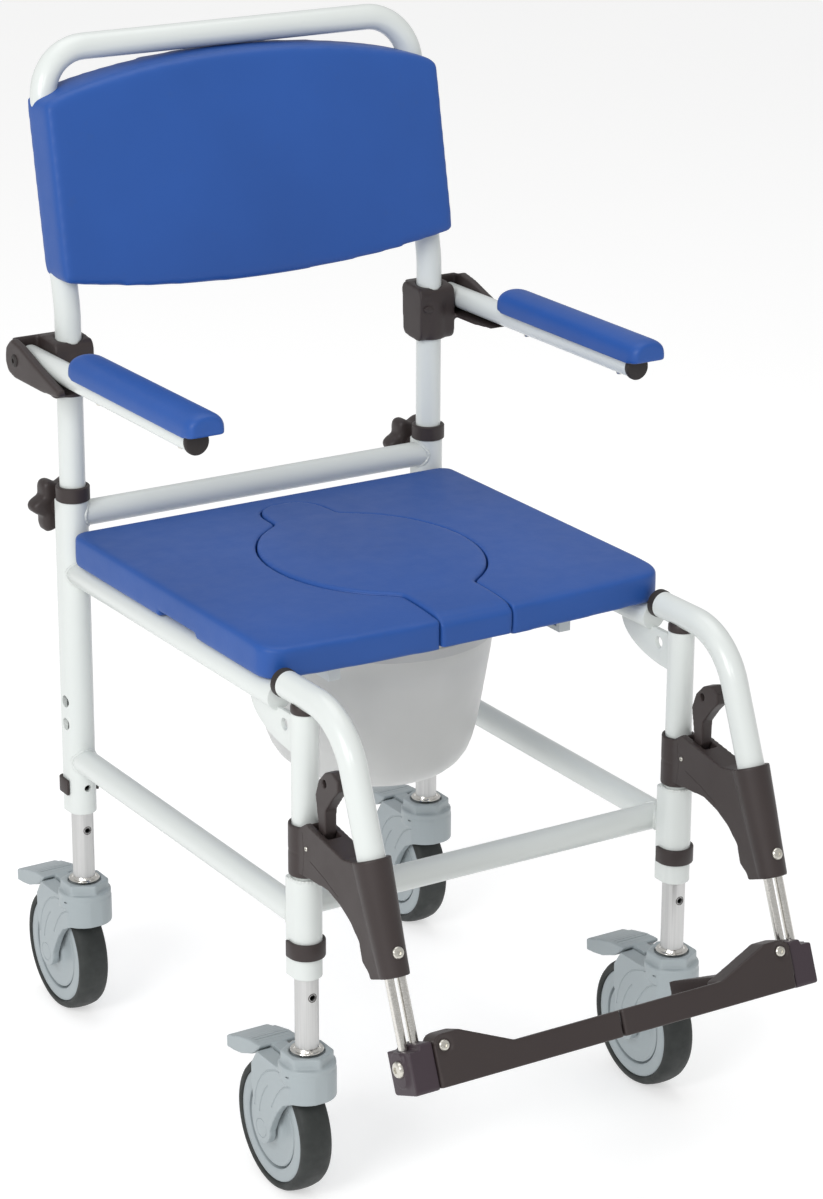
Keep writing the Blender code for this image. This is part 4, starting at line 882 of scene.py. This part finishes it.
def footrest(side, sign):
    x = sign * HALF_TRACK
    body = f"footrest_{side}"
    top, bottom = 0.0935, -0.0400
    turn = arc_of(0.0, pi, 16)
    path = [(x + STEM_SPREAD, *stem_place(0.0, top))]
    path += [(x + STEM_SPREAD * cos(a), *stem_place(0.0, bottom - STEM_SPREAD * sin(a))) for a in turn]
    path += [(x - STEM_SPREAD, *stem_place(0.0, top))]
    dress(sweep("rod", path, STEM_ROD_R, 20), f"stem_rod_{side}", body, STEEL, f"footrest_stem_{side}",
          smooth=60.0)

    def local(f, n, w):
        return (w, *stem_place(f, n))

    outline = rounded([(0.021, -0.015), (0.021, -0.058), (-0.018, -0.058), (-0.018, -0.015)], 0.003, 3)
    block = prism("block", outline, *sorted((sign * 0.1922, sign * 0.2165)), local)
    boss = prism("boss",
                 rounded([(0.012, -0.019), (0.012, -0.051), (-0.009, -0.051), (-0.009, -0.019)], 0.0085, 6),
                 *sorted((sign * 0.206, sign * 0.2190)), local)
    step = prism("step", [(0.030, -0.0205), (0.030, 0.0), (-0.030, 0.0), (-0.030, -0.0190)],
                 *sorted((sign * 0.2055, sign * 0.2300)), local)
    groove = prism("groove", [(0.0110, -0.065), (0.0110, -0.010), (0.0118, -0.010), (0.0118, -0.065)],
                   *sorted((sign * 0.2150, sign * 0.2200)), local)
    join(block, boss)
    cut(block, step, groove, *[cylinder(STEM_ROD_R + 0.0003, (x + w, *stem_place(0.0, 0.02)),
                                        (x + w, *stem_place(0.0, -0.05))) for w in (-STEM_SPREAD,
                                                                                    STEM_SPREAD)])
    moulded(block, 0.0010, 3, 0.5)
    # The stem block wears the dark plastic with the painted purple reflection.
    dress(block, f"stem_block_{side}", body, DARK_PAINTED_REFLECTION, f"footrest_block_{side}", smooth=50.0)
    bolt(f"stem_bolt_{side}", (sign * 0.2188, *stem_place(0.003, -0.034)), (sign, 0, 0), 0.0076, body, True,
         0.0042)

    body = f"footplate_{side}"
    end, inner = PLATE_END, 0.0008
    front, rear, near_rear = 0.0230, -0.065, -0.010
    plan = rounded([(sign * a, b) for a, b in [(end, near_rear), (end, front), (inner, front), (inner, rear),
                                               (0.110, rear), (0.155, near_rear)]],
                   [0.003, 0.003, 0.003, 0.02, 0.02, 0.02], 6)

    def flat(a, f, n):
        return (a, *stem_place(f, n))

    slab = prism("plate", plan, -0.0570, -0.0330, flat)
    heel = end - FLIP_X
    wedge = [(end, -0.0450)]
    wedge += [(FLIP_X + heel * cos(a), FLIP_N + heel * sin(a)) for a in [pi / 16 * i for i in range(9)]]
    wedge += [(0.1650, FLIP_N + heel), (0.1100, -0.0335), (0.1100, -0.0450)]
    wedge = prism("wedge", [(sign * a, n) for a, n in wedge], 0.0, front, lambda a, n, f: flat(a, f, n))
    underside = prism("under",
                      rounded([(sign * a, b) for a,
                               b in [(0.150, 0.020), (0.012, 0.020), (0.012, rear + 0.010),
                                     (0.104, rear + 0.010)]], 0.010, 5),
                      -0.0560, -0.0470, flat)
    edge = front - 0.006
    tray = prism("tray",
                 [(sign * a, b) for a, b in [(-0.05, -0.09), (0.100, -0.09), (0.128, -0.012), (0.112, edge),
                                             (-0.05, edge)]], -0.0460, -0.0200, flat)
    cut(slab, tray)
    bake(slab)
    join(slab, wedge)
    bake(slab)
    seat_of_bolt = (sign * FLIP_X, *stem_place(front - 0.0016, FLIP_N))
    recess = cylinder(0.0082, seat_of_bolt, (sign * FLIP_X, *stem_place(front + 0.0100, FLIP_N)))
    cut(slab, underside, recess)
    moulded(slab, 0.0013, 4, 0.5)
    treads = []
    for k in range(6):
        f = 0.012 - k * 0.0110
        reach = 0.098 - max(0.0, -f - 0.03) * 0.3
        treads.append(sweep("groove",
                            [(sign * 0.012, *stem_place(f, -0.0460)),
                             (sign * reach, *stem_place(f, -0.0460))],
                            0.0013, 8))
    cut(slab, *treads)
    dress(bake(slab), f"plate_{side}", body, DARK, f"footplate_{side}", smooth=50.0)
    bolt(f"plate_bolt_{side}", seat_of_bolt, STEM_FORWARD, 0.0050, body, True, 0.0020)


# ---------------------------------------------------------------- legs and casters
def inner_leg(corner):
    node = centre_of(f"inner_leg_{corner}")
    x, y = node.x, node.y
    body = f"leg_{corner}"
    profile = [(0.0105, INNER_LEG_BOTTOM), (INNER_LEG_R, INNER_LEG_BOTTOM + 0.0008), (INNER_LEG_R, 0.3440),
               (0.0106, 0.3448),
               (0.0089, 0.3448), (0.0089, INNER_LEG_BOTTOM)]
    leg = turned("leg", profile, (x, y, 0), wrap=True)
    cut(leg,
        *[cylinder(HOLE_R, (x, y - 0.02, z), (x, y + 0.02, z)) for z in (PIN_Z - HOLE_PITCH, PIN_Z,
                                                                         PIN_Z + HOLE_PITCH)])
    dress(bake(leg), f"leg_tube_{corner}", body, ALUMINIUM, f"inner_leg_{corner}")
    washer = [(0.0050, 0.1566), (0.0150, 0.1566), (0.0156, 0.1572), (0.0150, 0.1580), (0.0128, 0.1582),
              (0.0121, 0.1592), (0.0114, 0.1608), (0.0107, 0.1606), (0.0050, 0.1590)]
    dress(turned("washer", washer, (x, y, 0), wrap=True), f"leg_washer_{corner}", body, STEEL)
    stem = turned("stem", [(0.0050, 0.1330), (0.0050, 0.1600)], (x, y, 0))
    dress(stem, f"leg_stem_{corner}", body, STEEL)
    z, eyelet_r = PIN_Z - HOLE_PITCH, 0.0040
    ring = [(x + INNER_LEG_R * sin(eyelet_r * cos(a) / INNER_LEG_R),
             y - INNER_LEG_R * cos(eyelet_r * cos(a) / INNER_LEG_R), z + eyelet_r * sin(a))
            for a in full_turn(24)]
    dress(sweep("eyelet", ring, 0.00045, 6, closed=True), f"leg_eyelet_{corner}_0", body, DARK)


def leg_pin(corner):
    node = centre_of(f"inner_leg_{corner}")
    x, y = node.x, node.y
    facing = -1.0 if corner.startswith("front") else 1.0
    inner, outer = SLEEVE_R + 0.0002, SLEEVE_R + 0.0031
    if facing < 0:
        arc = arc_of(0.0, pi, 24)
        wrap = [(outer * cos(a), outer * sin(a)) for a in arc]
        lining = [(inner * cos(a), inner * sin(a)) for a in reversed(arc)]
        outline = wrap + [(-outer, -0.007), (-inner, -0.007)] + lining + [(inner, -0.007), (outer, -0.007)]
    else:
        wrap = rounded([(outer, -0.004), (outer, outer), (-outer, outer), (-outer, -0.004)],
                       [0, 0.006, 0.006, 0], 6)
        lining = rounded([(-inner, -0.004), (-inner, inner), (inner, inner), (inner, -0.004)],
                         [0, 0.0046, 0.0046, 0], 6)
        outline = wrap + lining
    band = prism("band", outline, PIN_Z - 0.0080, PIN_Z + 0.0080, lambda a, b, h: (x + a, y + facing * b, h))
    eased(band, 0.0009)
    dress(band, f"pin_band_{corner}", f"leg_pin_{corner}", DARK, f"leg_pin_{corner}")
    shank = turned("shank", [(HOLE_R, 0.0114), (HOLE_R, 0.0165)], (x, y, PIN_Z), (0, facing, 0), count=20)
    dress(shank, f"pin_shank_{corner}", f"leg_pin_{corner}", STEEL)


def caster_masters():
    """The fork, wheel disc, tyre and pedal of one caster, built once round its swivel axis."""
    fork_line = [(-0.0265, 0.112), (-0.0265, 0.139), (0.050, 0.139), (0.060, 0.124), (0.0600, 0.104),
                 (0.0575, 0.088)]
    fork_line += [(TRAIL + 0.0150 * cos(a), WHEEL_R + 0.0150 * sin(a)) for a in arc_of(0.15, -(pi + 0.3), 24)]
    fork_line += [(0.0205, 0.080), (0.0130, 0.092), (0.0020, 0.104), (-0.0120, 0.111)]
    fork = prism("fork", fork_line, -0.0250, 0.0250, side_plane(0))
    trim = turned("trim", [(0.0272, 0.06), (0.0272, 0.16), (0.060, 0.16), (0.060, 0.06)], (0, 0, 0),
                  wrap=True)
    cut(trim, box((-0.07, 0.002, 0.05), (0.07, 0.07, 0.17)))
    bake(trim)
    wheel_room = cylinder(0.0670, (-0.0172, TRAIL, WHEEL_R), (0.0172, TRAIL, WHEEL_R), 64)
    cut(fork, trim, wheel_room)
    bake(fork)
    flange = turned("flange",
                    [(0.0268, 0.1300), (0.0268, 0.1395), (0.0258, 0.1405), (0.0268, 0.1415), (0.0268, 0.1450),
                     (0.0262, 0.1458)], (0, 0, 0))
    nut = prism("nut",
                rounded([(0.0248 * cos(a), 0.0248 * sin(a)) for a in [pi / 3 * i + pi / 6 for i in range(6)]],
                        0.003, 4), 0.1450, 0.1558, flat_plane(0.0))
    join(fork, flange, nut)
    bake(fork)
    cut(fork, cylinder(0.0165, (0, 0, 0.1520), (0, 0, 0.17), 40),
        cylinder(0.0054, (0, 0, 0.1310), (0, 0, 0.17)),
        box((-0.0082, 0.0295, 0.1200), (0.0082, 0.07, 0.16)))
    moulded(fork, 0.0010, 4, 0.5)
    grooves = []
    curves = [
        [(-0.010, 0.1375), (0.004, 0.1368), (0.016, 0.1345), (0.030, 0.1280), (0.0400, 0.1190),
         (0.0475, 0.1080),
         (0.0520, 0.0960), (0.0540, 0.0830)],
        [(-0.018, 0.1300), (-0.006, 0.1272), (0.004, 0.1205), (0.0120, 0.1110), (0.0180, 0.1020),
         (0.0225, 0.0940)],
        [(0.0290, 0.1130), (0.0350, 0.1060), (0.0400, 0.0970), (0.0440, 0.0870), (0.0450, 0.0805)],
    ]
    for face in (-1, 1):
        for curve in curves:
            line = rounded([(face * 0.0252, y, z) for y, z in curve], [0] + [0.012] * (len(curve) - 2) + [0],
                           4, False)
            grooves.append(sweep("groove", line, 0.0010, 8))
        ring = [(face * 0.0251, TRAIL + 0.0092 * cos(a), WHEEL_R + 0.0092 * sin(a)) for a in full_turn(40)]
        grooves.append(sweep("ring", ring, 0.0006, 6, closed=True))
    cut(fork, *grooves)
    bake(fork)
    axle = cylinder(0.0040, (-0.0220, TRAIL, WHEEL_R), (0.0220, TRAIL, WHEEL_R), 24)

    def both(half_profile):
        return half_profile + [(r, -h) for r, h in reversed(half_profile)]

    disc = both([(0.0044, -0.0148), (0.0150, -0.0148), (0.0165, -0.0140), (0.0200, -0.0120),
                 (0.0300, -0.0128),
                 (0.0385, -0.0136), (0.0395, -0.0130), (0.0400, -0.0088), (0.0412, -0.0088),
                 (0.0418, -0.0140),
                 (0.0430, -0.0148), (0.0525, -0.0148), (0.0540, -0.0140), (0.0550, -0.0100)])
    disc = turned("disc", disc, (0, TRAIL, WHEEL_R), (1, 0, 0), wrap=True, count=80)
    tyre = both([(0.0548, -0.0105), (0.0544, -0.0143), (0.0556, -0.0156), (0.0585, -0.0158),
                 (0.0610, -0.0146),
                 (0.0627, -0.0118), (0.0636, -0.0075), (0.0640, -0.0035)])
    tyre = turned("tyre", tyre, (0, TRAIL, WHEEL_R), (1, 0, 0), wrap=True, count=80)

    pedal_line = [(0.0512, 0.1402), (0.0512, 0.1430), (0.0700, 0.1415), (0.0955, 0.1352), (0.0958, 0.1338),
                  (0.0975, 0.1334), (0.1100, 0.1300), (0.1135, 0.1275), (0.1128, 0.1165), (0.1000, 0.1178),
                  (0.0860, 0.1205), (0.0750, 0.1250), (0.0660, 0.1285), (0.0600, 0.1325)]
    pedal = prism("pedal", pedal_line, -0.0215, 0.0215, side_plane(0))
    join(pedal, box((-0.0075, 0.0345, 0.1345), (0.0075, 0.0580, 0.1415)))
    moulded(pedal, 0.0009, 4, 0.5)
    ridges = []
    for k in range(6):
        y = 0.0600 + k * 0.0058
        z = 0.1424 - (y - 0.060) * 0.165 + 0.0002
        ridges.append(sweep("ridge", [(-0.0175, y, z), (0.0175, y, z)], 0.0007, 6))
    cut(pedal, *ridges)
    bake(pedal)
    return fork, axle, disc, tyre, pedal


def caster_pieces():
    masters = caster_masters()
    looks = (("fork_body", "fork", GREY, "caster_fork", 50.0), ("axle", "fork", STEEL, None, 35.0),
             ("wheel_disc", "wheel", GREY, "caster_wheel", 35.0), ("wheel_tyre", "wheel", TREAD, None, 60.0),
             ("pedal_body", "pedal", GREY, "brake_pedal", 50.0))
    for corner in CORNERS:
        node = centre_of(f"inner_leg_{corner}")
        for master, (piece, body, material, stands_for, smooth) in zip(masters, looks):
            nodes = [f"{stands_for}_{corner}"] if stands_for else []
            dress(moved_copy(master, piece, (node.x, node.y, 0)), f"{piece}_{corner}", f"{body}_{corner}",
                  material, *nodes, smooth=smooth)
    for master in masters:
        bpy.data.objects.remove(master)


# ---------------------------------------------------------------- studio
def studio():
    floor = new_object("floor", bpy.data.meshes.new("floor"))
    bm = bmesh.new()
    bmesh.ops.create_grid(bm, x_segments=1, y_segments=1, size=14.0)
    bm.to_mesh(floor.data)
    bm.free()
    m = Nodes("studio_floor")
    m.link(m.two_colours(m.ranged(m.noise(0.6), 0, 1), (0.62, 0.62, 0.62), (0.63, 0.63, 0.627)),
           m.shader.inputs["Base Color"])
    m.shader.inputs["Roughness"].default_value = 0.9
    m.shader.inputs["Specular IOR Level"].default_value = 0.1
    m.shader.inputs["Emission Color"].default_value = (1.0, 1.0, 1.0, 1.0)
    m.shader.inputs["Emission Strength"].default_value = 0.52
    m.material.cycles.emission_sampling = "NONE"
    floor.data.materials.append(m.material)

    scene = bpy.context.scene
    world = bpy.data.worlds.new("studio")
    scene.world = world
    world.use_nodes = True
    world.node_tree.nodes["Background"].inputs["Color"].default_value = (1.0, 1.0, 1.0, 1.0)
    world.node_tree.nodes["Background"].inputs["Strength"].default_value = 0.58
    for name, place, size, power in (("key", (-3.2, -1.6, 2.5), 1.6, 75.0),
                                     ("front", (-1.9, -3.3, 2.9), 0.8, 22.0),
                                     ("top", (0.2, 0.4, 3.6), 2.4, 30.0)):
        lamp = bpy.data.lights.new(name, "AREA")
        lamp.shape = "SQUARE"
        lamp.size = size
        lamp.energy = power
        obj = bpy.data.objects.new(name, lamp)
        scene.collection.objects.link(obj)
        obj.location = place
        aim = Vector((0, 0, 0.5)) - Vector(place)
        obj.rotation_mode = "QUATERNION"
        obj.rotation_quaternion = aim.to_track_quat("-Z", "Y")
    scene.view_settings.view_transform = "Standard"
    scene.view_settings.look = "None"


def camera():
    """The view, given by its target, distance and angles."""
    azimuth, elevation, roll = radians(-31.904), radians(19.377), radians(0.239)
    distance, lens = 3.3657, 104.63
    target = Vector((0.04532, REAR_Y - 0.22407, 0.47681))
    back = Vector((sin(azimuth) * cos(elevation), -cos(azimuth) * cos(elevation), sin(elevation)))
    data = bpy.data.cameras.new("camera")
    data.lens = lens
    data.sensor_width = 36.0
    data.sensor_fit = "AUTO"
    obj = bpy.data.objects.new("camera", data)
    bpy.context.scene.collection.objects.link(obj)
    obj.location = target + back * distance
    turn = (-back).to_track_quat("-Z", "Y").to_matrix().to_4x4()
    obj.matrix_world = Matrix.Translation(obj.location) @ turn @ Matrix.Rotation(roll, 4, "Z")
    bpy.context.scene.camera = obj


frame_pieces()
back_pieces()
seat_pieces()
for side_name, side_sign in SIDES.items():
    knob(side_name, side_sign * HALF_TRACK)
    bracket(side_name, side_sign)
    arm(side_name, side_sign)
    hanger(side_name, side_sign)
    footrest(side_name, side_sign)
for corner_name in CORNERS:
    inner_leg(corner_name)
    leg_pin(corner_name)
caster_pieces()
studio()
camera()
